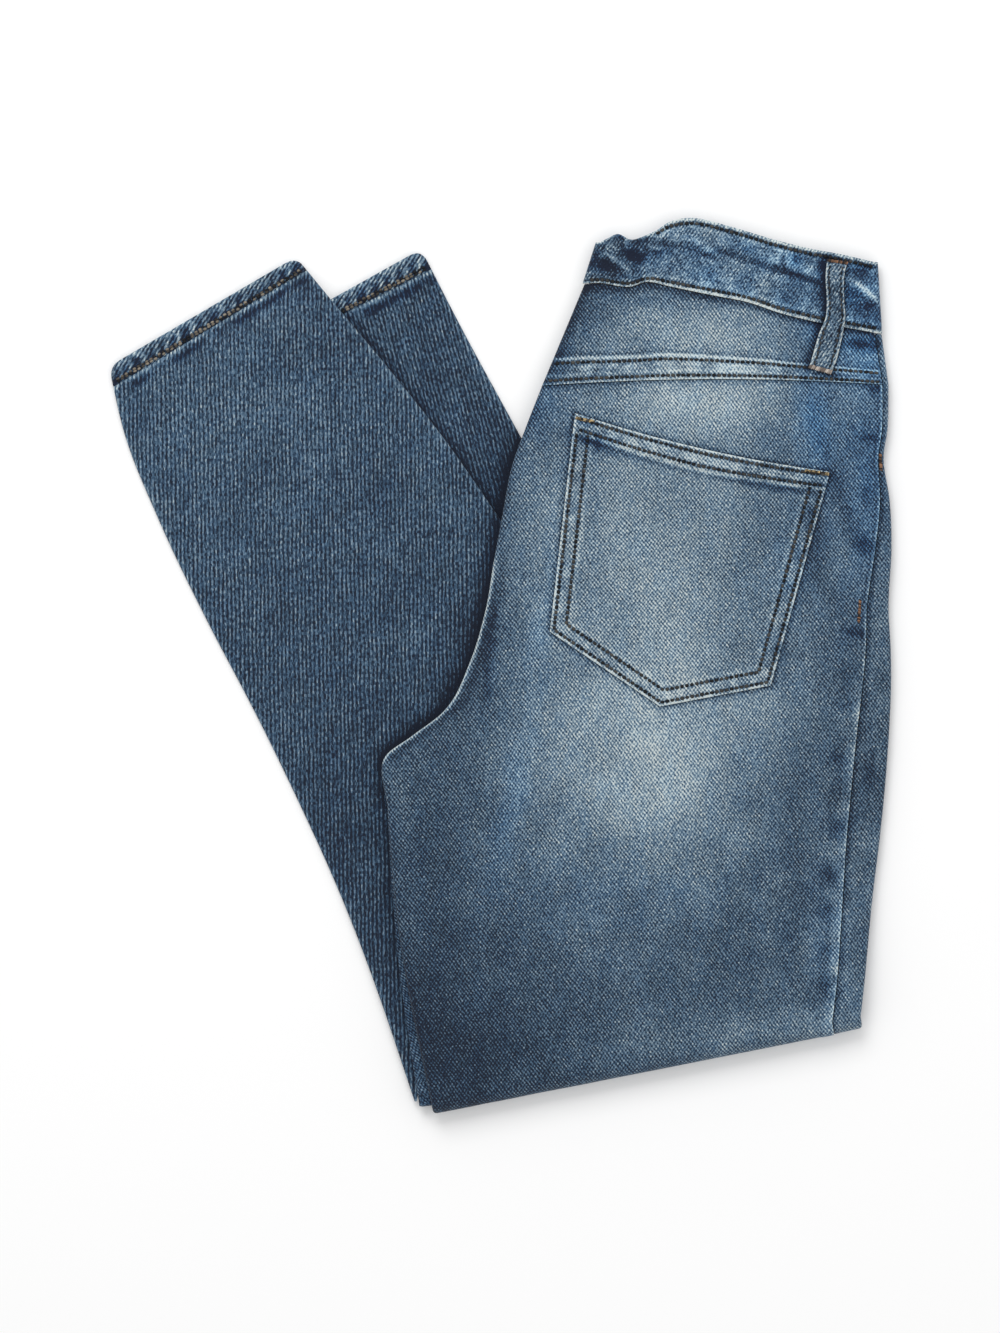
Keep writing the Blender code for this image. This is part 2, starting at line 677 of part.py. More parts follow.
def waistband(material):
    """The band's outer ply pair, rolled over both ends and rounded at its upper edge."""
    outer, inner = [], []
    for rise, drop in BAND_ROWS:
        x, y = band_point(np.linspace(*BAND_SPAN, BAND_COLUMNS), rise)
        for depth, fall, grid in ((0.0, drop, outer), (BAND_WALL, -BAND_INNER_FALL * drop, inner)):
            deep = depth + fall
            flat = np.stack([x, y, body_top(x, y) + BAND_RAISE - deep], axis=1)
            curl = arc_offsets(BAND_END, BAND_END - depth, BAND_END_FROM, 3)
            left = [flat[0] + (inset - BAND_END, 0.0, deep - d) for inset, d in curl]
            right = [flat[-1] + (BAND_END - inset, 0.0, deep - d) for inset, d in reversed(curl)]
            grid.append(np.concatenate([np.array(left), flat, np.array(right)]))
    return wall_between("waistband", np.array(outer), np.array(inner), material)


def waistband_layers(material):
    """The three folded-in lengths of the band under the outer one."""
    edge_rise = np.array([rise for rise, _ in BAND_EDGE])
    edge_high = np.array([high for _, high in BAND_EDGE])
    count = len(BAND_EDGE)
    shares = np.array(BAND_PLY_SHARES)
    rings = []
    for t in np.linspace(*BAND_PLY_SPAN, BAND_PLY_ROWS):
        x, y = band_point(t, shares)
        high = body_top(x, y) + BAND_RAISE - BAND_WALL - GAP
        top = np.stack([x, y, high], axis=1)
        bottom = np.stack([x, y, np.zeros(len(shares))], axis=1)
        ex, ey = band_point(t, edge_rise)
        right = np.stack([ex, ey, float(high[-1]) * edge_high], axis=1)
        sx, sy = band_point(t, np.full(count, BAND_PLY_SEAM))
        left = np.stack([sx, sy, float(high[0]) * np.linspace(*BAND_PLY_SIDE, count)], axis=1)
        rings.append(np.concatenate([top, right, bottom[::-1], left]))
    return solid_through("waistband_layers", rings, len(shares), count, material)


def back_pocket(material):
    """Five-sided patch on the seat, thicker across its turned mouth."""
    outer, inner = [], []
    (ax, ay), (bx, by) = POCKET_MOUTH
    foot = np.array(POCKET_FOOT)
    p = np.linspace(0.0, 1.0, POCKET_COLUMNS)
    top_x = ax + (bx - ax) * p
    top_y = ay + (by - ay) * p - POCKET_SAG * 4 * p * (1 - p)
    foot_x = np.interp(p, (0.0, 0.5, 1.0), foot[:, 0])
    foot_y = np.interp(p, (0.0, 0.5, 1.0), foot[:, 1])
    for q in POCKET_ROWS:
        thick = POCKET_HEM_WALL if q <= POCKET_HEM / POCKET_DROP else WALL
        x = top_x + (foot_x - top_x) * q
        y = top_y + (foot_y - top_y) * q
        z = body_top(x, y) + POCKET_GAP
        inner.append(np.stack([x, y, z], axis=1))
        outer.append(np.stack([x, y, z + thick], axis=1))
    return wall_between("pocket_back_right", np.array(outer), np.array(inner), material)


def belt_loop(material):
    """A folded strap tacked at both ends, bowed over the waistband's seam."""
    stops = np.linspace(0.0, 1.0, len(LOOP))
    share = np.array(LOOP_SHARES)
    outer, inner = [], []
    for t in np.linspace(0.0, 1.0, LOOP_ROWS):
        values = [float(smooth(stops, column(LOOP, LOOP_FIELDS, name), t)) for name in LOOP_FIELDS]
        lx, ly, rx, ry, lift = values
        x = lx + (rx - lx) * share
        y = ly + (ry - ly) * share
        ground = body_top(x, y) + BAND_RAISE * ramp(y, *LOOP_STEP) + LOOP_GAP + lift
        inner.append(np.stack([x, y, ground], axis=1))
        outer.append(np.stack([x, y, ground + LOOP_WALL + np.array(LOOP_EDGE)], axis=1))
    return wall_between("belt_loop_back_right", np.array(outer), np.array(inner), material)


def build():
    clear_scene()
    seat = denim("denim_faded", PALE_INDIGO)
    leg = denim("denim_indigo", INDIGO)
    deep = denim("denim_dark", DARK_INDIGO)
    outer, inner = skin(YOKE_FIRST, YOKE_SEAM - GAP / 2, "back", False)
    wall_between("yoke_right", outer, inner, seat)
    outer, inner = skin(YOKE_SEAM + GAP / 2, KNEE, "back", True)
    wall_between("back_right", outer, inner, seat)
    outer, inner = skin(YOKE_FIRST, KNEE, "front", True)
    wall_between("front_right", outer, inner, leg)
    hidden_layers(deep)
    right_back_calf(leg)
    right_front_calf(leg)
    left_end = LEFT_LEG[-1][0] - LEFT_LEG_SHORT
    leg_wall("front_left_calf", LEFT_LEG, left_leg_base, False, HEM_DEPTH + GAP, left_end, leg)
    leg_wall("back_left_calf", LEFT_LEG, left_leg_base, True, HEM_DEPTH + GAP, left_end, leg)
    hem_tube("hem_left", LEFT_LEG, left_leg_base, leg)
    hem_tube("hem_right", RIGHT_LEG, on_table, leg)
    waistband(seat)
    waistband_layers(deep)
    back_pocket(seat)
    belt_loop(seat)


build()
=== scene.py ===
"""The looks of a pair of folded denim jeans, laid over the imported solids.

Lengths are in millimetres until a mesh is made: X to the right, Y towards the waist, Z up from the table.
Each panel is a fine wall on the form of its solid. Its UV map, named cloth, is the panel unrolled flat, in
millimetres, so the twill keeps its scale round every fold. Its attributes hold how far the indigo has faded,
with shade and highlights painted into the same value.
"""

import math

import bmesh
import bpy
import numpy as np
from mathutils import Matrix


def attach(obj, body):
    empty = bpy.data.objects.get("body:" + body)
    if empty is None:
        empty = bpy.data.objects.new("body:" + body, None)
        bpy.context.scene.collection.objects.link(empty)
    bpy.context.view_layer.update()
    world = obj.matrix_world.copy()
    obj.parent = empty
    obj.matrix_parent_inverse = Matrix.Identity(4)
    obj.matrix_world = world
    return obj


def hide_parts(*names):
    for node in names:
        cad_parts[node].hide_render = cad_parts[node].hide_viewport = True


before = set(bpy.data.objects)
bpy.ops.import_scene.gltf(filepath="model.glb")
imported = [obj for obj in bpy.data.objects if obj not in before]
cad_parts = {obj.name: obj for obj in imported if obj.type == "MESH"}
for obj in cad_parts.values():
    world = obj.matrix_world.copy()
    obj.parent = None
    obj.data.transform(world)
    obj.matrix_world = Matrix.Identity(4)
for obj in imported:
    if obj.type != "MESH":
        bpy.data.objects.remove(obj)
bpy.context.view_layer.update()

MM = 0.001

WALL = 1.1
BAND_WALL = 2.2
HEM_WALL = 1.6
HEM_DEPTH = 10.5
GAP = 0.3
PLY_GAP = 0.7
HIDDEN_PLIES = 6.4
LEG_THICK = 2.6
LEG_CLEAR = 0.8
LEAST_WRAP = 3.0
HEM_THICK = 4.2
HEM_CORNER = 6.0
BAND_RAISE = 1.1
BODY_EDGE = 2.0
LEG_EDGE = LEG_THICK / 2
YOKE_SEAM = 44.0
YOKE_FIRST = 0.4
KNEE = 427.0

# Spacing of the fine walls.
BODY_GRID = 2.0
YOKE_GRID = 1.4
POCKET_GRID = 1.2
LEG_GRID = 2.2
UNDER_GRID = 6.0
HEM_GRID = 0.9
NOSE_STEPS = 14
CURL_STEPS = 7

# Sections of the folded seat and thighs, as cut: down from the waistband seam, left x and y, right x and y,
# how far in the side seam lies, how far the left leg peeks out, bow.
BODY = (
    (44, 23.9, 159.9, 221.7, 160.5, 3.5, 0, 3.5),
    (69, 13.7, 133.7, 221.2, 135.9, 3.2, 0, 1),
    (87, 6.8, 114.3, 218.9, 119.4, 3, 0, 0),
    (112, 1.7, 88.1, 222.3, 94.9, 5.5, 0, 0),
    (139, -3.4, 60.7, 223.4, 69.3, 9, 0, 0),
    (171, -8.5, 31.1, 221.7, 34.5, 12.3, 0, 0),
    (198, -17.1, 2.6, 222.9, 9.4, 14.3, 0, 0),
    (226, -31.9, -25.4, 222.9, -19.1, 17, 0, 0),
    (244, -50.2, -39.6, 221.7, -41.9, 18.5, 0, 0),
    (262, -65.5, -51.6, 220, -64.7, 19, 0, 0),
    (291, -63.8, -81.8, 217.2, -93.2, 19, 0.3, 0),
    (338, -59.8, -133.1, 212, -135.9, 17, 1.2, 0),
    (381, -53, -179.8, 208, -175.8, 16, 3.5, 0),
    (KNEE, -39.3, -247.7, 205.2, -199.2, 16.5, 7.0, 0.0),
)

# Sections of the lower legs: along from the ankle, left x and y, right x and y, how far in the seam lies.
LEFT_LEG = (
    (0, -223.5, 171.3, -116.5, 234, 0),
    (36, -214.3, 132, -95.2, 207.8, 0),
    (83, -194.9, 83.5, -67.3, 174.7, 0),
    (144, -167.6, 26.5, -30.8, 128.5, 0),
    (197, -142.5, -21.4, -0.6, 85.2, 0),
    (272, -115.7, -76.1, 51.3, 12.3, 0),
    (352, -90.1, -133.1, 108.3, -67.5, 0),
    (428, -68.4, -190.1, 162.4, -141.6, 0),
    (494, -47.9, -251.1, 198.4, -200.9, 0),
)
RIGHT_LEG = (
    (0, -153.3, 178.1, -45, 238.5, 4),
    (35, -145.3, 151.9, -25.6, 200.4, 5),
    (98, -130, 94.9, 6.8, 140.5, 6),
    (181, -107.7, 9.4, 44.5, 72.1, 8),
    (275, -84.4, -76.1, 95.2, -16.2, 10),
    (376, -59.8, -167.3, 149.3, -111.4, 13),
    (468, -39.3, -247.7, 205.2, -199.2, 16.5),
)
LEFT_LEG_END = LEFT_LEG[-1][0] - 19.0
RIGHT_FRONT_END = 444.0
RIGHT_BACK_END = RIGHT_LEG[-1][0] - 0.5

# Sections of the waistband: seam x and y, upper edge x and y.
BAND = (
    (48.4, 218.6, 56.4, 241.4),
    (58.1, 218.6, 61.6, 244.2),
    (67.8, 216.9, 67.5, 246.5),
    (74.7, 216.6, 75.6, 243.4),
    (84.4, 219.3, 88.3, 248.2),
    (98.6, 216.3, 98, 254),
    (120.3, 211.8, 112.3, 255.5),
    (140.8, 207.8, 134.5, 249.9),
    (160.7, 201.2, 155, 243.7),
    (183, 195.8, 175.6, 238.5),
    (200.1, 192.7, 196.1, 234.6),
    (217.7, 189.5, 215.5, 230),
)

# Folds: from x and y, to x and y, half width, height.
CREASES = (
    (202.9, 133.1, 172.7, 56.7, 16, -0.9),
    (206.3, -38.5, 188.7, -205.5, 12, 0.7),
    (-2, 75, -14, -25, 14, -0.9),
    (60, 190, 120, 205, 18, 0.6),
    (70, -120, 95, -210, 30, 0.7),
)
SEAT_CENTRE = (112.0, 25.0)
SEAT_SPREAD = (85.0, 120.0)
SEAT_CROWN = 1.4

# Finer soft troughs and ridges on the seat, thigh and yoke, in the same columns.
SOFT_FOLDS = (
    (-4, 56, -9.5, -22, 3.2, -1.1),
    (-1, 60, -4, -10, 5, 0.5),
    (206, 159, 219, 158, 3, -0.6),
    (203, 130, 216, 128.5, 3.4, -0.6),
    (197, 69, 210, 67, 4, -0.5),
    (192, 21, 205, 19, 4, -0.5),
    (190, -104, 200, -108, 4.5, -0.5),
    (186, -128, 197, -134, 5, -0.5),
    (180, -160, 192, -168, 5, -0.5),
    (30, 196, 60, 190, 6, 0.5),
    (26, 186, 44, 203, 5, -0.5),
    (150, 195, 178, 180, 5, -0.4),
    (-40, -60, 20, -75, 10, 0.4),
    (0, -110, 60, -150, 16, 0.35),
)

BAND_CREASES = (
    (79, 243.5, 104, 239.5, 1.6, -0.8),
    (104, 241.5, 122, 232.5, 1.6, -1),
    (112, 238, 126, 236, 2.8, 0.6),
    (120, 239, 146.5, 229.5, 1.5, -1),
    (145, 231, 184, 218, 1.5, -1),
    (150, 234, 184, 222.5, 3, 0.5),
    (161, 234.5, 162.5, 225, 1.6, -0.8),
    (200, 219, 214, 209.5, 2, 0.8),
    (71.5, 248, 84.5, 236, 1.7, -0.9),
    (62, 235, 75, 223, 1.8, 0.8),
    (56, 230, 70, 226, 3.4, -0.9),
    (73, 236, 82, 231, 3, -0.7),
)

POCKET_MOUTH = ((42.7, 144.2), (188.1, 110.9))
POCKET_FOOT = ((28.3, 19.8), (90.9, -22.7), (154.2, -10.8))
POCKET_SAG = 3.6
POCKET_HEM = 10.0
POCKET_DROP = 127.0
POCKET_WIDTH = 146.0
POCKET_GAP = 0.45
POCKET_HEM_WALL = 1.9

# Sections of the belt loop: left x and y, right x and y, lift.
LOOP = (
    (186.4, 231.7, 197.8, 230, 0),
    (185.4, 221.8, 195.9, 221.8, 0.8),
    (186, 208.7, 195.8, 208.9, 1.3),
    (185.4, 198.9, 196.5, 198.6, 1.3),
    (181.5, 189.1, 194.6, 187.2, 1),
    (178.2, 177.3, 192, 175.8, 0.5),
    (175.9, 170.1, 188.7, 166.7, 0),
)
LOOP_WALL = 2.0
LOOP_GAP = 0.45

# Indigo, from unworn to bare, as it reads.
INDIGO_STOPS = (
    (0.00, (13, 22, 38)),
    (0.17, (31, 49, 69)),
    (0.31, (51, 74, 94)),
    (0.43, (72, 96, 116)),
    (0.53, (93, 113, 131)),
    (0.63, (112, 131, 145)),
    (0.75, (137, 154, 163)),
    (1.00, (200, 208, 206)),
)

# Faded and unfaded places on the seat and thigh, with painted shade along creases and troughs: centre, spread,
# turn in degrees and how much paler.
BODY_TONE = 0.33
BODY_FADES_AND_SHADE = (
    (114, 150, 56, 22, 0, 0.38),
    (115, 192, 50, 20, -8, 0.32),
    (45, 186, 30, 22, 0, 0.12),
    (78, 55, 56, 68, 0, 0.30),
    (92, -46, 56, 60, 0, 0.36),
    (20, 90, 24, 50, 10, 0.06),
    (-28, -218, 46, 55, 0, -0.24),
    (60, -225, 90, 26, 10, -0.06),
    (-11, 30, 8, 50, -6, -0.12),
    (-40, -60, 22, 30, 0, -0.06),
    (-40, -120, 24, 60, 0, -0.10),
    (148, -208, 60, 16, 10, 0.10),
    (190, -120, 20, 90, 0, -0.06),
    # Painted shadow of a crease on the thigh.
    (168, -110, 7, 70, 0, -0.08),
    (22, 17, 9, 32, -6, 0.09),
    (8, -76, 6, 40, -12, 0.06),
    (30, 200, 10, 16, -20, -0.16),
    # This row and the next: painted shade along the crease right of the pocket.
    (192, 104, 5, 34, 18, -0.20),
    (182, 60, 5, 26, 12, -0.12),
    (200, 165, 20, 18, 0, 0.09),
    (210, -60, 10, 60, 0, 0.08),
    (196, -165, 22, 50, 0, 0.18),
    (150, -212, 60, 14, 11, 0.08),
    (30, -55, 24, 50, 0, 0.10),
    (110, 108, 60, 16, -10, 0.10),
    (110, 170, 60, 9, -4, 0.08),
    (57, 28, 17, 26, 0, -0.09),
    (150, 200, 26, 18, 0, 0.08),
    (171, 0, 12, 26, 0, 0.07),
    (40, 196, 14, 16, -20, -0.10),
    (54, 205, 18, 12, -10, -0.08),
    (45, 163, 24, 8, 0, -0.07),
    (183, 118, 18, 12, 0, 0.09),
    (194, -100, 12, 34, 0, 0.06),
    (12, -212, 26, 20, 0, -0.05),
    (82, -110, 30, 20, 0, 0.05),
    (120, 75, 26, 14, 0, 0.05),
    (80, -80, 50, 40, 0, 0.04),
    # Painted shade along the same crease.
    (178, 62, 6, 60, -15, -0.08),
    (163, 60, 12, 40, -15, 0.07),
    (203, 180, 14, 10, 0, 0.07),
    (60, 98, 7, 26, 0, 0.03),
    (-40, -225, 30, 20, 0, -0.07),
    (-45, -140, 12, 60, 0, -0.04),
    (50, 90, 16, 30, 0, -0.05),
    (57, -224, 34, 18, 10, 0.08),
    (148, -19, 18, 18, 0, 0.08),
    (125, 163, 20, 10, 0, -0.07),
    (194, 72, 12, 18, 0, 0.09),
    (150, 203, 18, 8, 0, 0.06),
    (150, 163, 12, 12, 0, 0.06),
    (33, 95, 9, 16, 0, 0.06),
    (80, 72, 18, 16, 0, -0.05),
)

# Places where the wash missed and deep blue is left, and painted shade in wrinkles, beside the side seam,
# under the pocket's hem band and round the waistband's hump: the same columns, the last how much darker. Rows
# below zero are paler; on the waistband one of them is a painted highlight along a crease.
BODY_STAINS_AND_SHADE = (
    # The first four rows are painted shade in the small wrinkles by the side seam.
    (214.5, 158, 4.5, 1.5, 0, 0.30),
    (212, 130.5, 5, 2, 0, 0.26),
    (208, 69, 4.5, 4.5, 20, 0.34),
    (203, 18.8, 5.5, 2.6, -10, 0.36),
    (209, 98, 3, 6, 0, 0.10),
    (192, -92, 4.6, 7, 10, 0.15),
    (185.5, -141, 6, 6, 0, 0.15),
    (184.6, -160, 6, 3, -20, 0.20),
    (185.6, -184, 5, 6.2, 0, 0.15),
    (178, -128, 8, 3, -30, 0.07),
    (180, -150, 9, 3, -12, 0.06),
    # Painted shadow just right of the side seam.
    (210.5, -60, 3, 12, 0, 0.20),
    (205, 184, 9, 3.2, -6, 0.36),
    (214, 184.5, 3, 3, 0, 0.20),
    (211, 176, 6, 2.6, 10, -0.14),
    (199, -22.2, 8, 2.6, 8, 0.13),
    (193.6, -53.2, 8, 2.8, -6, 0.14),
    (186.3, -116.6, 7, 4, -30, 0.13),
    (211.5, -63.7, 5, 6, 0, 0.12),
    (204.6, -26, 2.4, 9, -8, -0.14),
    (201.6, -48, 3.4, 5, 0, -0.14),
    (193.5, -82, 4, 6, -15, -0.12),
    (190.4, -103, 5, 4, 0, -0.14),
    (187, -129.5, 5, 4, 0, -0.14),
    (191, -172, 2.6, 5, 0, -0.14),
    (190, 184, 6, 4, -10, 0.12),
    (47, 193, 10, 8, -20, 0.12),
    (82, 209, 18, 3.5, -6, 0.12),
    (35, 176, 6, 12, -24, 0.12),
    (18, 146, 8, 5, 0, 0.12),
    (-5, 5, 3, 26, -6, 0.14),
)
POCKET_STAINS_AND_SHADE = (
    # The first, third and fourth rows are painted shadow under the hem band.
    (53, 128, 10, 4.2, -8, 0.40),
    (48.5, 139.6, 5, 2.8, -10, 0.28),
    (70, 121, 14, 3, -14, 0.14),
    (150, 103.5, 26, 2.2, -11, 0.22),
    (176.7, 89.2, 2.2, 3, 0, 0.24),
    (165, 46, 3.4, 2.6, 0, 0.24),
    (170, 66, 2, 5, 0, 0.16),
    (37, 57, 3, 4, 0, 0.20),
    (159, 12, 3, 5, 0, 0.14),
    (176, 113, 2, 4, 0, 0.20),
)
BAND_STAINS_SHADE_AND_HIGHLIGHT = (
    # The first five rows are painted shade round the centre-back hump and in the hollow beside it.
    (60.5, 226, 8, 4.6, -25, 0.30),
    (73.5, 237.5, 5, 4.6, -10, 0.30),
    (71, 221.5, 4.5, 3, 0, 0.18),
    (53.5, 232, 1.6, 7, -25, 0.34),
    (69, 245, 3, 1.2, -35, 0.34),
    (62.5, 239, 4, 3, 30, -0.12),
    # Painted highlight along a crease, and in the next row painted shadow under it.
    (208.4, 214.4, 8.5, 1.3, -41, -0.42),
    (201, 213.4, 4, 2.6, -30, 0.26),
    (213, 226, 3, 2, 0, -0.10),
    (80, 231, 10, 7, 0, 0.24),
    (150, 212, 14, 5, -14, -0.08),
    (90, 236, 7, 2, 12, 0.24),
    (119.5, 236.5, 6, 3, 0, 0.24),
    (141, 237.5, 7, 3.2, -14, 0.26),
    (142, 217.5, 5.5, 4.2, 0, 0.22),
    (121, 222, 4.5, 5, 0, 0.16),
    (168, 230, 4, 5.5, 0, 0.28),
    (183, 228, 3.4, 5.5, 0, 0.30),
    (206, 226, 5, 4, 0, 0.20),
    (207.5, 206, 8, 3.5, -10, 0.24),
    (99, 228, 6, 3, 0, 0.10),
    (160, 211, 8, 3, -14, 0.12),
)

# Bluer casts, in the same columns.
BODY_BLUES = (
    (180, 138, 9, 26, 6, 0.75),
    (180, 192, 8, 8, 0, 0.60),
    (22, 17, 9, 36, -6, 0.20),
    (200, -170, 18, 60, 0, 0.30),
    (7, -78, 7, 44, -12, 0.34),
    (212, 110, 16, 60, 0, 0.45),
    (208, 180, 20, 16, 0, 0.55),
    (20, 150, 14, 16, 0, 0.35),
    (60, -130, 60, 20, 0, 0.12),
    (163, 60, 14, 40, -15, 0.25),
)


def columns_at(table, at, stations=None):
    """A table's columns as smooth curves. stations: its rows' places, in its first column unless given."""
    columns = np.array(table, float).T
    if stations is None:
        stations, columns = columns[0], columns[1:]
    return [smooth(stations, values, at) for values in columns]


def smooth(stations, values, at):
    """A smooth curve through one column of a table, read at one or more stations."""
    slopes = np.gradient(values, stations)
    at = np.clip(at, stations[0], stations[-1])
    i = np.clip(np.searchsorted(stations, at, side="right") - 1, 0, len(stations) - 2)
    width = stations[i + 1] - stations[i]
    t = (at - stations[i]) / width
    start = values[i] * (1 + 2 * t) * (1 - t) ** 2 + slopes[i] * width * t * (1 - t) ** 2
    end = values[i + 1] * t * t * (3 - 2 * t) + slopes[i + 1] * width * t * t * (t - 1)
    return start + end


def ramp(value, low, high):
    """A smooth step from 0 at `low` to 1 at `high`."""
    t = np.clip((value - low) / (high - low), 0, 1)
    return t * t * (3 - 2 * t)


def fall(value, low, high):
    """A ramp downwards, from 1 at `low` to 0 at `high`."""
    return 1 - ramp(value, low, high)


def hill(value, width):
    """A smooth bump, 1 at zero and a third at `width`."""
    return np.exp(-((value / width) ** 2))


def lumps(x, y, size, seed):
    """Uneven smooth swelling between -1 and 1, with humps about `size` across."""
    lattice = np.random.default_rng(seed).uniform(-1.0, 1.0, (128, 128))
    u = np.asarray(x, float) / size + 64.0
    v = np.asarray(y, float) / size + 64.0
    i = np.floor(u).astype(int)
    j = np.floor(v).astype(int)
    s = ramp(u - i, 0, 1)
    t = ramp(v - j, 0, 1)
    i, j = i % 127, j % 127
    low = lattice[i, j] * (1 - s) + lattice[i + 1, j] * s
    high = lattice[i, j + 1] * (1 - s) + lattice[i + 1, j + 1] * s
    return low * (1 - t) + high * t


def outline(table, first=1):
    """The corners round a table's left and right points. first: the column of the left x."""
    left = [row[first : first + 2] for row in table]
    right = [row[first + 2 : first + 4] for row in table]
    return np.array(left + right[::-1])


def inside(x, y, corners):
    """Distance in from an outline, and below zero outside it."""
    x = np.asarray(x, float)
    y = np.asarray(y, float)
    nearest = np.full(x.shape, 1e9)
    within = np.zeros(x.shape, bool)
    for (ax, ay), (bx, by) in zip(corners, np.roll(corners, -1, axis=0)):
        ex, ey = bx - ax, by - ay
        t = np.clip(((x - ax) * ex + (y - ay) * ey) / (ex * ex + ey * ey), 0, 1)
        nearest = np.minimum(nearest, np.hypot(x - ax - t * ex, y - ay - t * ey))
        crosses = (ay > y) != (by > y)
        if ey:
            within ^= crosses & (x < ax + (y - ay) * ex / ey)
    return np.where(within, nearest, -nearest)


LOOP_OUTLINE = outline(LOOP, 0)
LEFT_OUTLINE = outline(LEFT_LEG)
RIGHT_OUTLINE = outline(RIGHT_LEG)


def hem_bump(x, y):
    """The lower hem's extra plies, as they lift what lies on them."""
    (x0, y0), (x1, y1) = RIGHT_LEG[0][1:3], RIGHT_LEG[0][3:5]
    ex, ey = x1 - x0, y1 - y0
    t = np.clip(((x - x0) * ex + (y - y0) * ey) / (ex * ex + ey * ey), 0, 1)
    off = np.hypot(x - x0 - t * ex, y - y0 - t * ey)
    return 2.0 * fall(off, 12, 34)


def left_leg_base(x, y):
    """Underside of the left leg: on the table, and over the right leg where they cross."""
    over = inside(x, y, RIGHT_OUTLINE)
    return ramp(over, -27, 0) * (LEG_THICK + LEG_CLEAR + hem_bump(x, y))


def on_table(x, _y):
    return np.zeros(np.shape(x))


def body_base(x, y, reach):
    """Underside of the seat and thighs, rising over the two lower legs from `reach` outside them."""
    right = ramp(inside(x, y, RIGHT_OUTLINE), -reach, 5) * (LEG_THICK + LEG_CLEAR)
    left = ramp(inside(x, y, LEFT_OUTLINE), -reach, 5) * (LEG_THICK + 1.4)
    return right + left


def creases(x, y, table):
    """Soft troughs and ridges, each dying away towards its two ends."""
    total = np.zeros(np.shape(x))
    for x0, y0, x1, y1, half_width, height in table:
        ex, ey = x1 - x0, y1 - y0
        length = math.hypot(ex, ey)
        along = ((x - x0) * ex + (y - y0) * ey) / length
        off = ((x - x0) * ey - (y - y0) * ex) / length
        ends = ramp(along, -0.15 * length, 0.3 * length) * fall(along, 0.7 * length, 1.15 * length)
        total = total + height * ends * hill(off, half_width)
    return total


def body_top(x, y):
    """Outer face of the right back, yoke and side strip, as in the solids."""
    dx = (x - SEAT_CENTRE[0]) / SEAT_SPREAD[0]
    dy = (y - SEAT_CENTRE[1]) / SEAT_SPREAD[1]
    crown = SEAT_CROWN * np.exp(-dx * dx - dy * dy)
    return body_base(x, y, 60.0) + HIDDEN_PLIES + GAP + WALL + crown + creases(x, y, CREASES)


def body_face(x, y):
    """The same face with its finer folds and the slight unevenness of worn cloth."""
    uneven = 0.22 * lumps(x, y, 23, 3) + 0.10 * lumps(x, y, 9, 4)
    return body_top(x, y) + creases(x, y, SOFT_FOLDS) + uneven


def band_point(t, rise):
    """A point of the waistband's face: t from the centre back to the side, rise from seam to upper edge."""
    seam_x, seam_y, top_x, top_y = columns_at(BAND, t, np.linspace(0, 1, len(BAND)))
    return seam_x + (top_x - seam_x) * rise, seam_y + (top_y - seam_y) * rise


def body_ends(down):
    """Ends of body sections, the side seam, the left leg's peek and the bow."""
    return columns_at(BODY, np.maximum(down, YOKE_SEAM))


def body_plan(down, share):
    """Plan position on the body: share runs from the left edge, 0, to the right edge, 1."""
    lx, ly, rx, ry, _, _, bow = body_ends(down)
    x = lx + (rx - lx) * share
    y = ly + (ry - ly) * share + 4 * bow * share * (1 - share)
    seam_x, seam_y = band_point(share, 0.0)
    part = np.clip(down / YOKE_SEAM, 0, 1)
    return seam_x + (x - seam_x) * part, seam_y + (y - seam_y) * part


def body_width(down):
    x0, y0 = body_plan(down, np.zeros(np.shape(down)))
    x1, y1 = body_plan(down, np.ones(np.shape(down)))
    return np.hypot(x1 - x0, y1 - y0)


def steps_between(first, last, step):
    return np.linspace(first, last, max(2, int(round((last - first) / step)) + 1))


def curl(start, count):
    """Angles round a pressed edge, from `start` up to the flat face at a half turn."""
    return np.linspace(start, math.pi, count + 1)[:-1]


def close_ended(first, last, step, fine):
    """Stops from first to last with `fine` closer ones inside both ends."""
    fine = np.array(fine)
    middle = steps_between(first + fine[-1], last - fine[-1], step)
    return np.concatenate([first + fine[:-1], middle, last - fine[-2::-1]])


def srgb(colour):
    """Linear colour of an eight-bit one."""
    share = np.array(colour, float) / 255.0
    linear = np.where(share <= 0.04045, share / 12.92, ((share + 0.055) / 1.055) ** 2.4)
    return tuple(float(v) for v in linear) + (1.0,)


def feed(tree, made, inputs):
    """Sets a node's inputs, each to a value or to another node's output."""
    for key, value in inputs.items():
        if isinstance(value, (int, float, tuple)):
            made.inputs[key].default_value = value
        else:
            tree.links.new(value, made.inputs[key])


def node(tree, kind, inputs, **settings):
    """A shader node with its settings and inputs."""
    made = tree.nodes.new("ShaderNode" + kind)
    for key, value in settings.items():
        setattr(made, key, value)
    feed(tree, made, inputs)
    return made


def new_material(name, inputs):
    """A material, its node tree and its shader."""
    material = bpy.data.materials.new(name)
    material.use_nodes = True
    tree = material.node_tree
    shader = tree.nodes["Principled BSDF"]
    feed(tree, shader, {"Metallic": 0.0, **inputs})
    return material, tree, shader


def sums(tree, operation, first, second):
    return node(tree, "Math", {0: first, 1: second}, operation=operation).outputs[0]


def weighted(tree, total, parts):
    """A total with each (value, weight) added to it."""
    for value, weight in parts:
        total = sums(tree, "ADD", total, sums(tree, "MULTIPLY", value, weight))
    return total


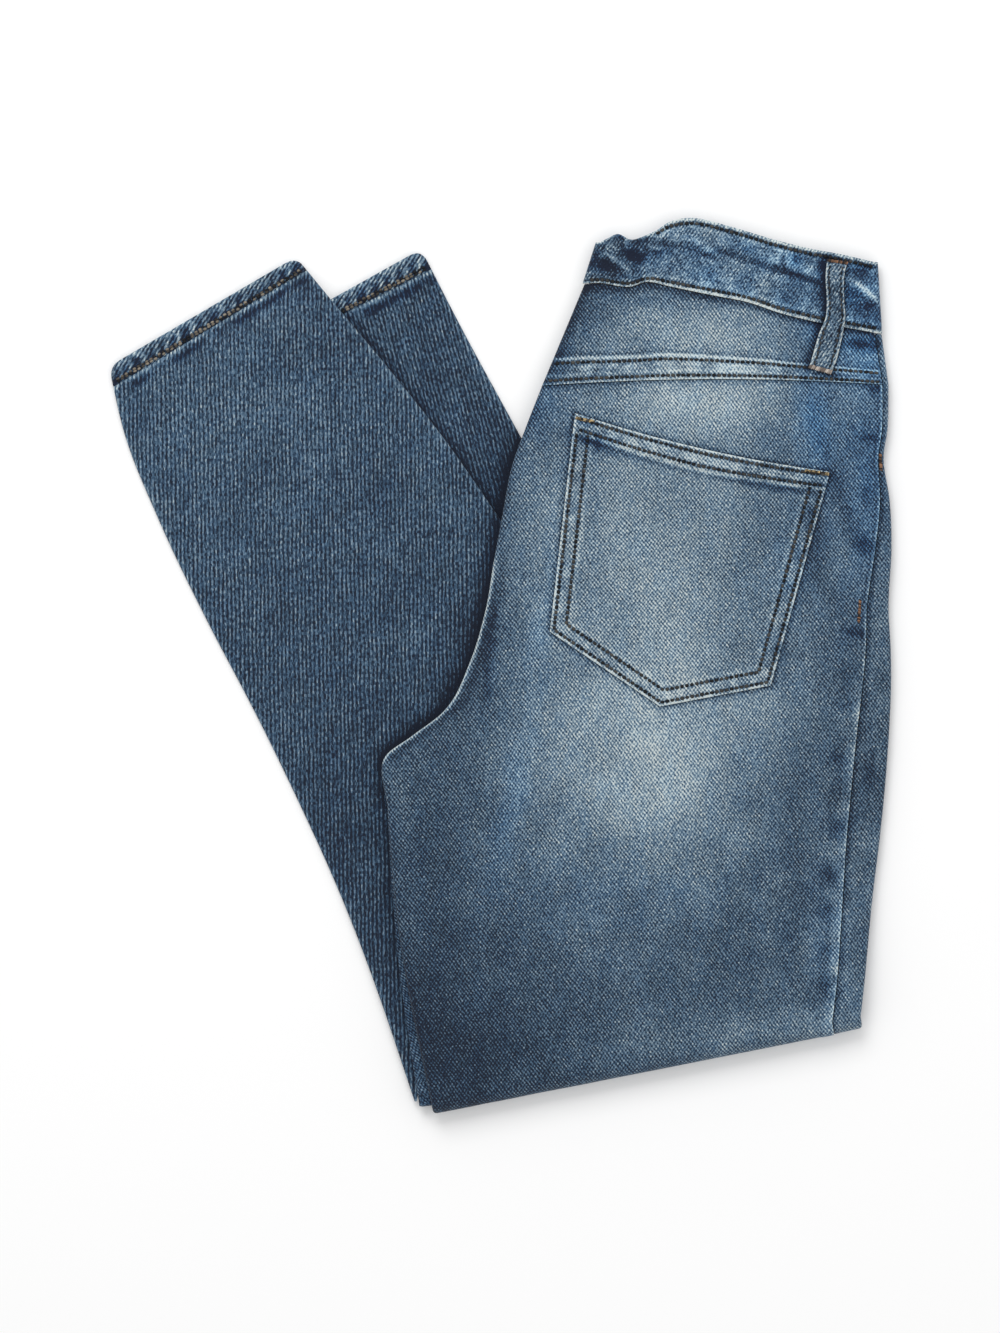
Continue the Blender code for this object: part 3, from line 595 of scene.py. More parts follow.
def turned_cloth(tree, degrees, scale):
    """Flat cloth coordinates turned so that X runs along a direction, and scaled."""
    cloth = node(tree, "UVMap", {}, uv_map="cloth").outputs["UV"]
    turn = node(tree, "Mapping", {"Vector": cloth, "Rotation": (0.0, 0.0, -math.radians(degrees))})
    return node(tree, "Mapping", {"Vector": turn.outputs["Vector"], "Scale": (*scale, 1.0)}).outputs["Vector"]


def noise(tree, vector, detail=2.0, roughness=0.5):
    """Noise between -0.5 and 0.5."""
    inputs = {"Vector": vector, "Scale": 1.0, "Detail": detail, "Roughness": roughness}
    return sums(tree, "SUBTRACT", node(tree, "TexNoise", inputs, noise_dimensions="2D").outputs["Fac"], 0.5)


def cells(tree, vector):
    """A value between -0.5 and 0.5 for each unit square."""
    whole = node(tree, "VectorMath", {0: vector}, operation="FLOOR").outputs[0]
    made = node(tree, "TexWhiteNoise", {"Vector": whole}, noise_dimensions="2D")
    return sums(tree, "SUBTRACT", made.outputs["Value"], 0.5)


def attribute(tree, name):
    return node(tree, "Attribute", {}, attribute_name=name).outputs["Fac"]


def blend(tree, share, first, second, kind="MIX"):
    """A colour between two, or one multiplied by the other."""
    inputs = {"Factor": share, 6: first, 7: second}
    return node(tree, "Mix", inputs, data_type="RGBA", blend_type=kind).outputs[2]


def ribs(tree, degrees, pitch, wobble):
    """Twill lines: a wave across a direction of the flat cloth."""
    split = node(tree, "SeparateXYZ", {0: turned_cloth(tree, degrees, (1.0, 1.0))})
    drift = noise(tree, turned_cloth(tree, degrees, (0.05, 0.09)), 1.0)
    across = weighted(tree, split.outputs["Y"], ((drift, wobble),))
    return sums(tree, "SINE", sums(tree, "MULTIPLY", across, 2 * math.pi / pitch), 0.0)


def indigo(tree, wear_and_shade):
    """The colour of indigo cloth for a value from 0 to 1: its wear, with painted shade and highlights."""
    made = node(tree, "ValToRGB", {"Fac": wear_and_shade})
    stops = made.color_ramp.elements
    for stop, (position, colour) in zip(stops, (INDIGO_STOPS[0], INDIGO_STOPS[-1])):
        stop.position, stop.color = position, srgb(colour)
    for position, colour in INDIGO_STOPS[1:-1]:
        stops.new(position).color = srgb(colour)
    return made.outputs["Color"]


def denim(name, lines, fleck=0.8, speck=0.30, fleck_scale=(0.72, 1.15), grain=90.0):
    """Washed twill. lines: direction, pitch and strength of its ribs. grain: the warp's direction."""
    material, tree, shader = new_material(name, {
        "Roughness": 0.88, "Specular IOR Level": 0.25, "Sheen Weight": 0.08, "Sheen Roughness": 0.6,
    })
    main = lines[0][0]
    waves = [(ribs(tree, degrees, pitch, 1.5), strength) for degrees, pitch, strength in lines]
    flecks = noise(tree, turned_cloth(tree, main, fleck_scale), 1.0, 0.6)
    specks = cells(tree, turned_cloth(tree, main, (1.3 * fleck_scale[0], 1.5)))
    slubs = noise(tree, turned_cloth(tree, grain, (0.07, 0.9)), 2.0)
    mottle = noise(tree, turned_cloth(tree, grain, (0.035, 0.05)), 3.0, 0.6)
    parts = waves + [(flecks, fleck), (specks, speck), (slubs, 0.16), (mottle, 0.16)]
    # The wear attribute also holds painted shade and highlights.
    colour = indigo(tree, weighted(tree, attribute(tree, "wear_and_shade"), parts))
    casts = noise(tree, turned_cloth(tree, grain, (0.05, 0.12)), 2.0)
    cast = weighted(tree, attribute(tree, "blue"), ((casts, 0.45), (flecks, -0.5)))
    tint = blend(tree, cast, colour, (0.58, 1.0, 1.38, 1.0), "MULTIPLY")
    relief = weighted(tree, sums(tree, "MULTIPLY", waves[0][0], 0.25), ((flecks, 0.8), (slubs, 0.3)))
    bump = node(tree, "Bump", {"Strength": 0.5, "Distance": 0.0004, "Height": relief})
    feed(tree, shader, {"Base Color": tint, "Normal": bump.outputs["Normal"]})
    return material


def thread(name, dark, light):
    """Twisted topstitching thread, each stitch a little different."""
    material, tree, shader = new_material(name, {"Roughness": 0.7, "Specular IOR Level": 0.3})
    place = node(tree, "TexCoord", {})
    strands = node(tree, "TexNoise", {"Vector": place.outputs["Object"], "Scale": 900.0})
    share = weighted(tree, attribute(tree, "shade"), ((strands.outputs["Fac"], 0.5),))
    feed(tree, shader, {"Base Color": blend(tree, share, srgb(dark), srgb(light))})
    return material


SEAT_TWILL = ((129.0, 1.72, 0.19), (57.0, 1.62, 0.13))
CLOTH = {
    "seat": denim("denim_seat", SEAT_TWILL),
    "pocket": denim("denim_pocket", ((131, 1.68, 0.20), (53, 1.60, 0.15))),
    "band": denim("denim_waistband", ((53, 1.70, 0.15), (123, 1.62, 0.08)), 1.1, 0.38, grain=0),
    "loop": denim("denim_belt_loop", ((58, 1.75, 0.18), (122, 1.6, 0.06)), 1.1, 0.42),
    "left_leg": denim("denim_left_leg", ((91, 2.36, 0.20), (88, 1.95, 0.05)), 0.75, 0.38, (0.5, 1.4), 62),
    "right_leg": denim("denim_right_leg", ((105, 2.30, 0.19), (98, 1.85, 0.05)), 0.75, 0.38, (0.5, 1.4), 60),
    "hem": denim("denim_hem", ((58, 2.1, 0.24), (92, 2.2, 0.06)), 0.8, 0.4, (0.55, 1.2), 62),
    "plies": denim("denim_plies", SEAT_TWILL),
}
THREAD = {
    "dark": thread("thread_dark", (9, 11, 15), (80, 78, 74)),
    "mixed": thread("thread_mixed", (9, 11, 16), (158, 148, 132)),
    "tan": thread("thread_tan", (40, 34, 26), (216, 190, 140)),
    "rust": thread("thread_rust", (34, 28, 28), (168, 124, 92)),
    "pale": thread("thread_pale", (104, 94, 88), (226, 214, 202)),
}


def wall_faces(rows, columns):
    """Faces of a closed wall between an outer and an inner grid."""
    total = rows * columns
    first = (np.arange(rows - 1)[:, None] * columns + np.arange(columns - 1)).ravel()
    outer = np.column_stack([first, first + 1, first + columns + 1, first + columns])
    top = np.arange(columns)
    right = np.arange(1, rows) * columns + columns - 1
    bottom = (rows - 1) * columns + np.arange(columns - 2, -1, -1)
    left = np.arange(rows - 2, 0, -1) * columns
    rim = np.concatenate([top, right, bottom, left])
    after = np.roll(rim, -1)
    edge = np.column_stack([after, rim, rim + total, after + total])
    return np.concatenate([outer, outer[:, ::-1] + total, edge])


def close_wall(mesh, cloth):
    """Turns a closed mesh's faces outwards and gives it its flat pattern as a UV map."""
    work = bmesh.new()
    work.from_mesh(mesh)
    bmesh.ops.recalc_face_normals(work, faces=work.faces)
    if work.calc_volume(signed=True) < 0:
        bmesh.ops.reverse_faces(work, faces=work.faces)
    work.to_mesh(mesh)
    work.free()
    corner = np.empty(len(mesh.loops), np.int32)
    mesh.loops.foreach_get("vertex_index", corner)
    mesh.uv_layers.new(name="cloth").uv.foreach_set("vector", cloth[corner].astype(np.float32).ravel())


def new_piece(name, points, faces, values, material, replaces=None, cloth=None, sharp=50):
    """A mesh with its attributes, such as a cloth's wear with painted shade. cloth: the flat pattern of one
    that stands for a solid.
    """
    mesh = bpy.data.meshes.new(name)
    if cloth is not None:
        points[:, 2] = np.maximum(points[:, 2], 0.0)
    mesh.from_pydata((points * MM).tolist(), [], faces)
    if cloth is not None:
        close_wall(mesh, cloth)
    for key, value in values.items():
        made = mesh.attributes.new(key, "FLOAT", "POINT")
        made.data.foreach_set("value", np.asarray(value, np.float32).ravel())
    mesh.shade_smooth()
    if cloth is not None:
        mesh.set_sharp_from_angle(angle=math.radians(sharp))
    mesh.materials.append(material)
    piece = bpy.data.objects.new(name, mesh)
    bpy.context.scene.collection.objects.link(piece)
    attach(piece, "root")
    if replaces:
        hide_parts(replaces)
    return piece


def two_walls(name, points, faces, cloth, shades, material, replaces):
    """A closed wall whose outer and inner sides share a flat pattern, wear with painted shade, and blue cast.
    """
    values = {key: np.tile(value.ravel(), 2) for key, value in zip(("wear_and_shade", "blue"), shades)}
    flat = np.tile(cloth.reshape(-1, 2), (2, 1))
    return new_piece(name, points, faces.tolist(), values, material, replaces, flat)


def panel(name, outer, inner, cloth, shades, kind, replaces, slot, rests_on, held="folded"):
    """A cut panel: a closed fine wall that stands for its solid."""
    points = np.concatenate([outer.reshape(-1, 3), inner.reshape(-1, 3)])
    piece = two_walls(name, points, wall_faces(*outer.shape[:2]), cloth, shades, CLOTH[kind], replaces)
    return piece


def row_wear_and_shade(off):
    """Wear and painted shade across a row of stitching: a dark groove of painted shade with paler, faded cloth
    on both sides. off: distance from it.
    """
    off = np.abs(off)
    return 0.17 * hill(off - 2.1, 0.9) - 0.12 * hill(off, 1)


def oval_patches(x, y, start, table):
    """A start value and the soft oval patches of a table added to it."""
    total = np.full(np.shape(x), start)
    for cx, cy, spread_x, spread_y, turn, paler in table:
        cos, sin = math.cos(math.radians(turn)), math.sin(math.radians(turn))
        u = ((x - cx) * cos + (y - cy) * sin) / spread_x
        v = (-(x - cx) * sin + (y - cy) * cos) / spread_y
        total = total + paler * np.exp(-u * u - v * v)
    return total


def loop_shade(x, y):
    """Painted shadow beside the belt loop, deeper on its left and below its foot."""
    beside = np.maximum(-inside(x, y, LOOP_OUTLINE), 0.0)
    left_x, left_y = np.array(LOOP[::-1], float).T[:2]
    deep = np.maximum(fall(x - np.interp(y, left_y, left_x), 0, 4), fall(y, 166, 170))
    return -(0.22 + 0.30 * deep) * hill(beside, 1.5 + 1.1 * deep)


def stained_and_shaded(tone, blue, x, y, table):
    """Tone and blue cast with a table's patches: where deep blue is left, and where shade and highlights are
    painted.
    """
    left = -oval_patches(x, y, 0, table) * (1 + 0.5 * lumps(x, y, 4, 8) + 0.4 * lumps(x, y, 2, 9))
    return tone + left, np.clip(blue - 1.3 * left, 0, 1)


def body_shades(x, y):
    """Wear, painted shade and blue cast of the seat and thigh at flat cloth positions."""
    tone = oval_patches(x, y, BODY_TONE, BODY_FADES_AND_SHADE) + 0.05 * lumps(x, y, 26, 5) + 0.03 * lumps(x, y, 11, 6)
    # Painted shade along the soft troughs, and painted highlight on their ridges.
    tone += 0.10 * np.clip(creases(x, y, SOFT_FOLDS), -1, 0.5)
    side = 0.10 + 0.14 * ramp(x, 130, 215) * ramp(y, -40, 120)
    return stained_and_shaded(tone, np.clip(oval_patches(x, y, side, BODY_BLUES), 0, 1), x, y, BODY_STAINS_AND_SHADE)


def knee_direction():
    """Which way the knee fold points in plan."""
    left, right = np.array(BODY[-1][1:3]), np.array(BODY[-1][3:5])
    along = (right - left) / np.linalg.norm(right - left)
    return np.array([along[1], -along[0]])


def nose_rows(points, cloth):
    """Rows that carry a knee section round the fold to the table, and the flat pattern's."""
    out = knee_direction()
    middle = body_face(points[:, 0], points[:, 1]) / 2
    radius = float(middle.mean())
    high = points[:, 2] - middle
    rows, flats = [], []
    for angle in np.linspace(0, math.pi, NOSE_STEPS + 1)[1:]:
        row = points.copy()
        row[:, :2] += out * (high * math.sin(angle))[:, None]
        row[:, 2] = middle + high * math.cos(angle)
        rows.append(row)
        flats.append(cloth + out * radius * angle)
    return np.array(rows), np.array(flats)


def body_panel(downs, stops, relief):
    """Points of the body's skin. stops: inset from the left edge, depth and unrolled inset, rows x columns."""
    across, deep, unrolled = stops
    width = body_width(downs)[:, None]
    down = downs[:, None] + np.zeros(across.shape)
    x, y = body_plan(down, across / width)
    z = body_face(x, y) + relief - deep
    return np.dstack([x, y, z]), np.dstack(body_plan(down, unrolled / width)), down


def skin_stops(downs, which, step, depth):
    """Insets, depths and unrolled insets across the upper face, for the back or for the front strip."""
    width = body_width(downs)
    seam = width - body_ends(downs)[4]
    angles = curl(0.0, CURL_STEPS)
    reach = BODY_EDGE - depth
    inset = BODY_EDGE - reach * np.sin(angles)
    deep = BODY_EDGE + reach * np.cos(angles)
    rolled = BODY_EDGE - BODY_EDGE * (math.pi - angles)
    fine = (0.0, 0.7, 1.5, 2.4, 3.6)
    rows = []
    for w, s in zip(width, seam):
        if which == "back":
            flat = seam_spread(BODY_EDGE, s - GAP, step, fine, seam[0] - BODY_EDGE)
            rows.append((np.concatenate([inset, flat]), np.concatenate([rolled, flat])))
        else:
            flat = np.linspace(s + GAP, w - BODY_EDGE, 9)
            rows.append((np.concatenate([flat, w - inset[::-1]]), np.concatenate([flat, w - rolled[::-1]])))
    across = np.array([row[0] for row in rows])
    unrolled = np.array([row[1] for row in rows])
    ends = np.full(across.shape, depth)
    if which == "back":
        ends[:, : len(angles)] = deep
    else:
        ends[:, -len(angles) :] = deep[::-1]
    return across, ends, unrolled


def seam_spread(first, last, step, fine, whole):
    """A fixed number of stops, close together near the seam at `last`."""
    count = max(3, int(round(whole / step)))
    fine = np.array(fine)
    return np.concatenate([np.linspace(first, last - fine[-1], count), last - fine[-2::-1]])


def skin_grids(downs, which, step, relief):
    """Outer and inner grids, flat pattern, down-distances and insets of one stretch of the upper face."""
    outer_stops, inner_stops = (skin_stops(downs, which, step, depth) for depth in (0.0, WALL))
    across = outer_stops[0]
    raised = relief(downs[:, None] + np.zeros(across.shape), across)
    outer, cloth, down = body_panel(downs, outer_stops, raised)
    return outer, body_panel(downs, inner_stops, raised)[0], cloth, down, across


def skin_to_knee(downs, which, relief):
    """A stretch of the upper face that ends at the knee, with the rows round its fold."""
    outer, inner, cloth, down, across = skin_grids(downs, which, BODY_GRID, relief)
    outer_nose, flats = nose_rows(outer[-1], cloth[-1])
    inner_nose, _ = nose_rows(inner[-1], cloth[-1])
    tail = np.repeat([across[-1]], NOSE_STEPS, axis=0)
    tails = (outer_nose, inner_nose, flats, np.full(tail.shape, KNEE), tail)
    return [np.concatenate(pair) for pair in zip((outer, inner, cloth, down, across), tails)]


def seam_off(down, across):
    """How far a point lies from the side seam, to the left of it."""
    return body_width(down) - body_ends(down)[4] - across


def back_relief(down, across):
    """The felled edge along the side seam, puckered below the bar tack, and the seat seam's rim."""
    off = seam_off(down, across)
    puckers = lumps(down, off, 7.5, 21) * ramp(down, 225, 250)
    ridge = (0.55 + 0.4 * puckers) * fall(off, 5.5, 8.5)
    side = 0.55 * fall(across, 0, 4) * ramp(down, 180, 200) * fall(down, 262, 275)
    under_yoke = -0.5 * fall(down, YOKE_SEAM, YOKE_SEAM + 3)
    return ridge + side + under_yoke


def back_wear_and_shade(cloth, down, across):
    """Wear and painted shade of the right back: faded places, the pale side-seam ridge, the pale seat-seam
    rim, and painted shadow beside the seat seam, under the yoke and round the pocket.
    """
    x, y = cloth[..., 0], cloth[..., 1]
    tone, blue = body_shades(x, y)
    off = seam_off(down, across)
    low = ramp(down, 180, 240)
    uneven = 0.5 + 0.5 * lumps(down, off, 8, 21)
    ridge = fall(off, 3, 7) * (0.03 + 0.26 * low * (uneven - 0.25))
    rim = (0.26 + 0.20 * lumps(down, off, 9, 23)) * (1 - 0.55 * low) * fall(off, 0.5, 1.6)
    groove = -0.16 * hill(off - 2.6, 0.9) * (1 - 0.6 * low)
    beside = -0.16 * hill(off - 9, 4.5) * (0.45 + 0.8 * lumps(down, off * 0.6, 10, 22)) * low
    crotch = ramp(down, 130, 150) * fall(down, 262, 268)
    # Pale faded cord of the seat seam, then painted shade where the cloth turns down beside it.
    seat_rim = crotch * (0.75 * hill(across, 1.5) - 0.16 * hill(across - 5, 3.5))
    thigh_rim = -0.08 * ramp(down, 268, 280) * fall(across, 1, 4)
    left_rim = -0.12 * fall(down, 120, 140) * fall(across, 1, 5)
    # Painted shadow just under the yoke's edge.
    under_yoke = -0.20 * fall(down, YOKE_SEAM + 0.5, YOKE_SEAM + 3)
    outside = np.maximum(-inside(x, y, POCKET_OUTLINE), 0.0)
    pocket_shade = -0.32 * hill(outside, 1.5)
    knee_edge = -0.04 * ramp(down, KNEE - 8, KNEE)
    total = tone + ridge + rim + groove + beside + seat_rim + thigh_rim + left_rim
    return total + under_yoke + pocket_shade + knee_edge, blue


def make_back():
    """The right back, from the yoke to the knee fold and round it."""
    downs = np.concatenate([
        [YOKE_SEAM + GAP / 2, YOKE_SEAM + 1.0, YOKE_SEAM + 2.2],
        steps_between(YOKE_SEAM + 3.6, KNEE, BODY_GRID),
    ])
    outer, inner, cloth, down, across = skin_to_knee(downs, "back", back_relief)
    panel("seat_and_thigh", outer, inner, cloth, back_wear_and_shade(cloth, down, across), "seat", "back_right",
          "denim_seat", ["folded_plies"])


YOKE_ROWS = (YOKE_SEAM - 9.4, YOKE_SEAM - 2.0)


def yoke_relief(down, _across):
    """The yoke's lower edge lies double over the seat, between two rows of stitching."""
    band = ramp(down, YOKE_SEAM - 11.6, YOKE_SEAM - 10.2)
    edge = 1 - 0.5 * ramp(down, YOKE_SEAM - 1.2, YOKE_SEAM)
    grooves = sum(0.3 * hill(down - row, 0.8) for row in YOKE_ROWS)
    under_band = -0.4 * fall(down, 0, 5)
    return 0.75 * band * edge - grooves + under_band


def yoke_wear_and_shade(cloth, down):
    """Wear and painted shade of the yoke: its lower edge's two rows, a painted shadow line above them, and
    painted shadow under the waistband and beside the belt loop.
    """
    x, y = cloth[..., 0], cloth[..., 1]
    tone, blue = body_shades(x, y)
    upper = 0.24 * hill(down - (YOKE_SEAM - 11.2), 0.8)
    # Painted shadow line above the pale upper edge.
    above = -0.20 * hill(down - (YOKE_SEAM - 12.9), 1.1)
    lower = (0.20 + 0.20 * lumps(x, y, 4, 13)) * ramp(down, YOKE_SEAM - 1.2, YOKE_SEAM - 0.5)
    rows = sum(row_wear_and_shade(down - row) for row in YOKE_ROWS)
    inner = -0.02 + 0.22 * lumps(x, y, 3.6, 11)
    inner *= ramp(down, YOKE_SEAM - 9, YOKE_SEAM - 7.8) * fall(down, YOKE_SEAM - 4, YOKE_SEAM - 2.6)
    # Painted shadow under the waistband.
    under_band = -(0.34 + 0.10 * lumps(x, y, 14, 12)) * fall(down, 1.2, 5.5)
    edge_x, edge_y = body_plan(down, 0 * down)
    left_edge = -0.26 * fall(np.hypot(x - edge_x, y - edge_y), 1, 8)
    return tone + upper + above + lower + rows + inner + under_band + left_edge + loop_shade(x, y), blue


def make_yoke():
    """The right yoke, between the waistband and the seat."""
    downs = np.concatenate([
        steps_between(YOKE_FIRST, YOKE_SEAM - 12.8, YOKE_GRID),
        steps_between(YOKE_SEAM - 12.2, YOKE_SEAM - GAP / 2, 0.65),
    ])
    outer, inner, cloth, down, _ = skin_grids(downs, "back", YOKE_GRID, yoke_relief)
    panel("back_yoke", outer, inner, cloth, yoke_wear_and_shade(cloth, down), "seat", "yoke_right",
          "denim_seat", ["folded_plies"])


def strip_relief(down, across):
    return -0.35 + 0.25 * lumps(down, across, 9, 33)


def make_strip():
    """The right front, as far as it shows between the side seam and the folded edge."""
    downs = steps_between(YOKE_FIRST, KNEE, BODY_GRID)
    outer, inner, cloth, down, across = skin_to_knee(downs, "front", strip_relief)
    off = -seam_off(down, across)
    tone, blue = body_shades(cloth[..., 0], cloth[..., 1])
    # Painted shadow just right of the side seam.
    wear_and_shade = tone - 0.22 * fall(off, 0.8, 3.5) + 0.03 + 0.07 * lumps(down, off, 12, 34)
    wear_and_shade += 0.12 * fall(down, 70, 90) - 0.08 * ramp(down, 200, 240)
    panel("right_front_edge", outer, inner, cloth, (wear_and_shade, blue * 0.4), "seat", "front_right",
          "denim_seat", ["folded_plies"])


def leg_ends(table, alongs):
    """A leg's two ends at each station, how far in the seam lies, and the width, all as columns."""
    lx, ly, rx, ry, seam_in = (value[:, None] for value in columns_at(table, alongs))
    return (lx, ly, rx, ry), seam_in, np.hypot(rx - lx, ry - ly)


def between(ends, across, width):
    """The plan position `across` from the left end, where the ends are `width` apart."""
    lx, ly, rx, ry = ends
    return lx + (rx - lx) * across / width, ly + (ry - ly) * across / width


def leg_grid(table, alongs, stops, base, relief):
    """Points and flat pattern of a leg's face. stops: (inset, height, unrolled inset) rows x columns."""
    across, high, unrolled = stops
    ends, _, width = leg_ends(table, alongs)
    x, y = between(ends, across, width)
    z = base(x, y) + high + relief
    return np.dstack([x, y, z]), np.dstack(between(ends, unrolled, width))


def pressed_edge(reach, count, width):
    """Angles, insets and unrolled insets round a leg's pressed left edge."""
    angles = np.linspace(math.pi / 2, math.pi, count)[None, :-1]
    inset = LEG_EDGE - reach * np.sin(angles) + 0 * width
    return angles, inset, LEG_EDGE - LEG_EDGE * (math.pi - angles) + 0 * width


def hem_lift(along):
    """How much thicker a leg is beside its doubled hem."""
    return np.exp(-np.maximum(along - HEM_DEPTH, 0.0) / 22.0)


def leg_relief(x, y, across, width, seed):
    """Broad soft swelling, held flat near the pressed edges."""
    calm = ramp(across, 0, 12) * ramp(width - across, 0, 12)
    swell = ((0.45, 46.0), (0.2, 19.0), (0.07, 7.0))
    return calm * sum(height * lumps(x, y, size, seed + k) for k, (height, size) in enumerate(swell))


def leg_face(table, alongs, base, step, seed, right_wrap):
    """Outer and inner grids of a lower leg's upper panel."""
    ends, seam_in, width = leg_ends(table, alongs)
    thick = LEG_THICK + hem_lift(alongs)[:, None]
    columns = int(round(float(width.max()) / step))
    shares = np.linspace(0, 1, columns)[None, :]
    grids = []
    for depth in (0.0, WALL):
        reach = LEG_EDGE - depth
        seam = GAP / 2
        angles, left_in, left_roll = pressed_edge(reach, CURL_STEPS + 1, width)
        left_high = (LEG_EDGE + seam - (reach - seam) * np.cos(angles)) * thick / LEG_THICK
        flat = LEG_EDGE + (width - 2 * LEG_EDGE) * shares
        high = thick - depth + 0 * flat
        if right_wrap:
            round_angles = np.linspace(0, math.pi, 2 * CURL_STEPS + 1)[None, 1:]
            lean = LEG_EDGE + reach * np.cos(round_angles)
            last = width - np.maximum(seam_in, LEAST_WRAP)
            last_roll = width - LEG_EDGE + LEG_EDGE * math.pi + (width - LEG_EDGE - last)
            right = (
                (width - LEG_EDGE + reach * np.sin(round_angles), last),
                (np.where(lean > LEG_EDGE, lean * thick / LEG_THICK, lean + 0 * thick), depth + 0 * last),
                (width - LEG_EDGE + LEG_EDGE * round_angles, last_roll),
            )
        else:
            right = ((width - left_in[:, ::-1],), (left_high[:, ::-1],), (width - left_roll[:, ::-1],))
        left = (left_in, left_high, left_roll)
        stops = [np.hstack([a, b, *c]) for a, b, c in zip(left, (flat, high, flat), right)]
        x, y = between(ends, stops[0], width)
        grids.append(leg_grid(table, alongs, stops, base, leg_relief(x, y, stops[0], width, seed)))
    (outer, cloth), (inner, _) = grids
    return outer, inner, cloth


LEG_TONE = 0.24
# Faded and darker places on the lower legs, in the body's columns; on the left leg the darker places next to
# the body's edge are painted shadow.
LEFT_FADES_AND_SHADE = (
    (-165, 165, 75, 70, -30, 0.07),
    (-95, 75, 60, 50, -30, 0.01),
    (-60, -120, 70, 110, 25, -0.10),
    (-20, 20, 14, 60, -24, -0.08),
    (-58, -205, 12, 60, 18, -0.06),
    (-125, 209, 22, 14, 30, -0.07),
    (-36, 56, 12, 18, 30, -0.03),
)
RIGHT_FADES = (
    (-60, 190, 60, 50, -30, -0.02),
    (-10, 120, 20, 60, 30, -0.06),
    (-82, 208, 26, 14, 30, 0.08),
)
BODY_OUTLINE = outline(BODY)


def leg_wear_and_shade(cloth, along, across, width, table):
    """Wear and painted shade of a lower leg: paler beyond the hem's stitching, then the painted shadow that
    the hem leaves.
    """
    x, y = cloth[..., 0], cloth[..., 1]
    tone = oval_patches(x, y, LEG_TONE, table) + 0.035 * lumps(x, y, 34, 51) + 0.03 * lumps(x, y, 13, 53)
    rope = lumps(across, along * 0.4, 7, 52)
    pale = (0.24 + 0.10 * rope) * fall(along, HEM_DEPTH + 1, HEM_DEPTH + 3)
    shade = -(0.20 + 0.24 * rope) * hill(along - HEM_DEPTH - 4.6 - 0.8 * rope, 1.7)
    rim = 0.12 * fall(np.minimum(across, width - across), 0.8, 3.5)
    # Painted shadow beside the body's edge, and on the right leg beside the left leg.
    beyond = np.maximum(-inside(x, y, BODY_OUTLINE), 0.0)
    beside = -0.40 * hill(beyond, 4) * ramp(y, -95, -50) - 0.12 * hill(beyond, 6)
    if table is RIGHT_FADES:
        under = np.maximum(-inside(x, y, LEFT_OUTLINE), 0.0)
        beside -= 0.26 * hill(under, 3.4)
    tone += pale + shade + rim + beside
    # The blue cast rises in the painted shadow beyond the hem.
    return tone, np.clip(0.16 + 1.5 * np.maximum(-shade, 0), 0, 1)


def lengthen_edge(grid, along, across, last):
    """Draws the end of the left leg's pressed edge on beside the thigh, as far as it shows."""
    (x0, y0), (x1, y1) = LEFT_LEG[-2][1:3], LEFT_LEG[-1][1:3]
    length = math.hypot(x1 - x0, y1 - y0)
    on = 16.0 * ramp(along, last - 24, last) * fall(across, 1.6, 7)
    grid[..., 0] += on * (x1 - x0) / length
    grid[..., 1] += on * (y1 - y0) / length


def make_leg_upper(name, table, base, last, seed, fade, kind, replaces, wrap):
    """A lower leg's upper panel, whose far edge turns under where it wraps."""
    alongs = np.concatenate([
        steps_between(HEM_DEPTH + 0.12, HEM_DEPTH + 18.0, 1.1)[:-1],
        steps_between(HEM_DEPTH + 18.0, last, LEG_GRID),
    ])
    outer, inner, cloth = leg_face(table, alongs, base, LEG_GRID, seed, wrap)
    along = alongs[:, None] + np.zeros(cloth.shape[:2])
    (lx, ly, _, _), _, width = leg_ends(table, alongs)
    across = np.hypot(cloth[..., 0] - lx, cloth[..., 1] - ly)
    dip = -0.5 * fall(along, HEM_DEPTH, HEM_DEPTH + 1.6) * fall(across, width - 1, width)
    outer[..., 2] += dip
    inner[..., 2] += dip
    if not wrap:
        for grid in (outer, inner, cloth):
            lengthen_edge(grid, along, across, last)
    shades = leg_wear_and_shade(cloth, along, across, width, fade)
    panel(name, outer, inner, cloth, shades, kind, replaces, "denim_leg", [])


def make_leg_under(name, table, base, last, kind, replaces, wrap):
    """A leg's under panel: flat on the table, or on the other leg."""
    alongs = steps_between(HEM_DEPTH + GAP, last, UNDER_GRID)
    _, seam_in, width = leg_ends(table, alongs)
    shares = np.linspace(0, 1, 36)[None, :]
    squeeze = (LEG_EDGE - GAP / 2) / LEG_EDGE
    far = width - (np.maximum(seam_in, LEAST_WRAP) + GAP if wrap else LEG_EDGE)
    grids = []
    for depth in (0.0, WALL):
        reach = LEG_EDGE - depth
        angles, left_in, left_roll = pressed_edge(reach, 6, width)
        left_high = (LEG_EDGE + reach * np.cos(angles)) * squeeze + 0 * width
        flat = LEG_EDGE + (far - LEG_EDGE) * shares
        stops = []
        for left, middle, right in (
            (left_in, flat, width - left_in),
            (left_high, depth + 0 * flat, left_high),
            (left_roll, flat, width - left_roll),
        ):
            stops.append(np.hstack([left, middle] if wrap else [left, middle, right[:, ::-1]]))
        grids.append(leg_grid(table, alongs, stops, base, 0.0))
    (outer, cloth), (inner, _) = grids
    wear_and_shade = LEG_TONE + 0.04 * lumps(cloth[..., 0], cloth[..., 1], 30, 61)
    panel(name, outer, inner, cloth, (wear_and_shade, np.full(wear_and_shade.shape, 0.25)), kind, replaces, "denim_leg", [])


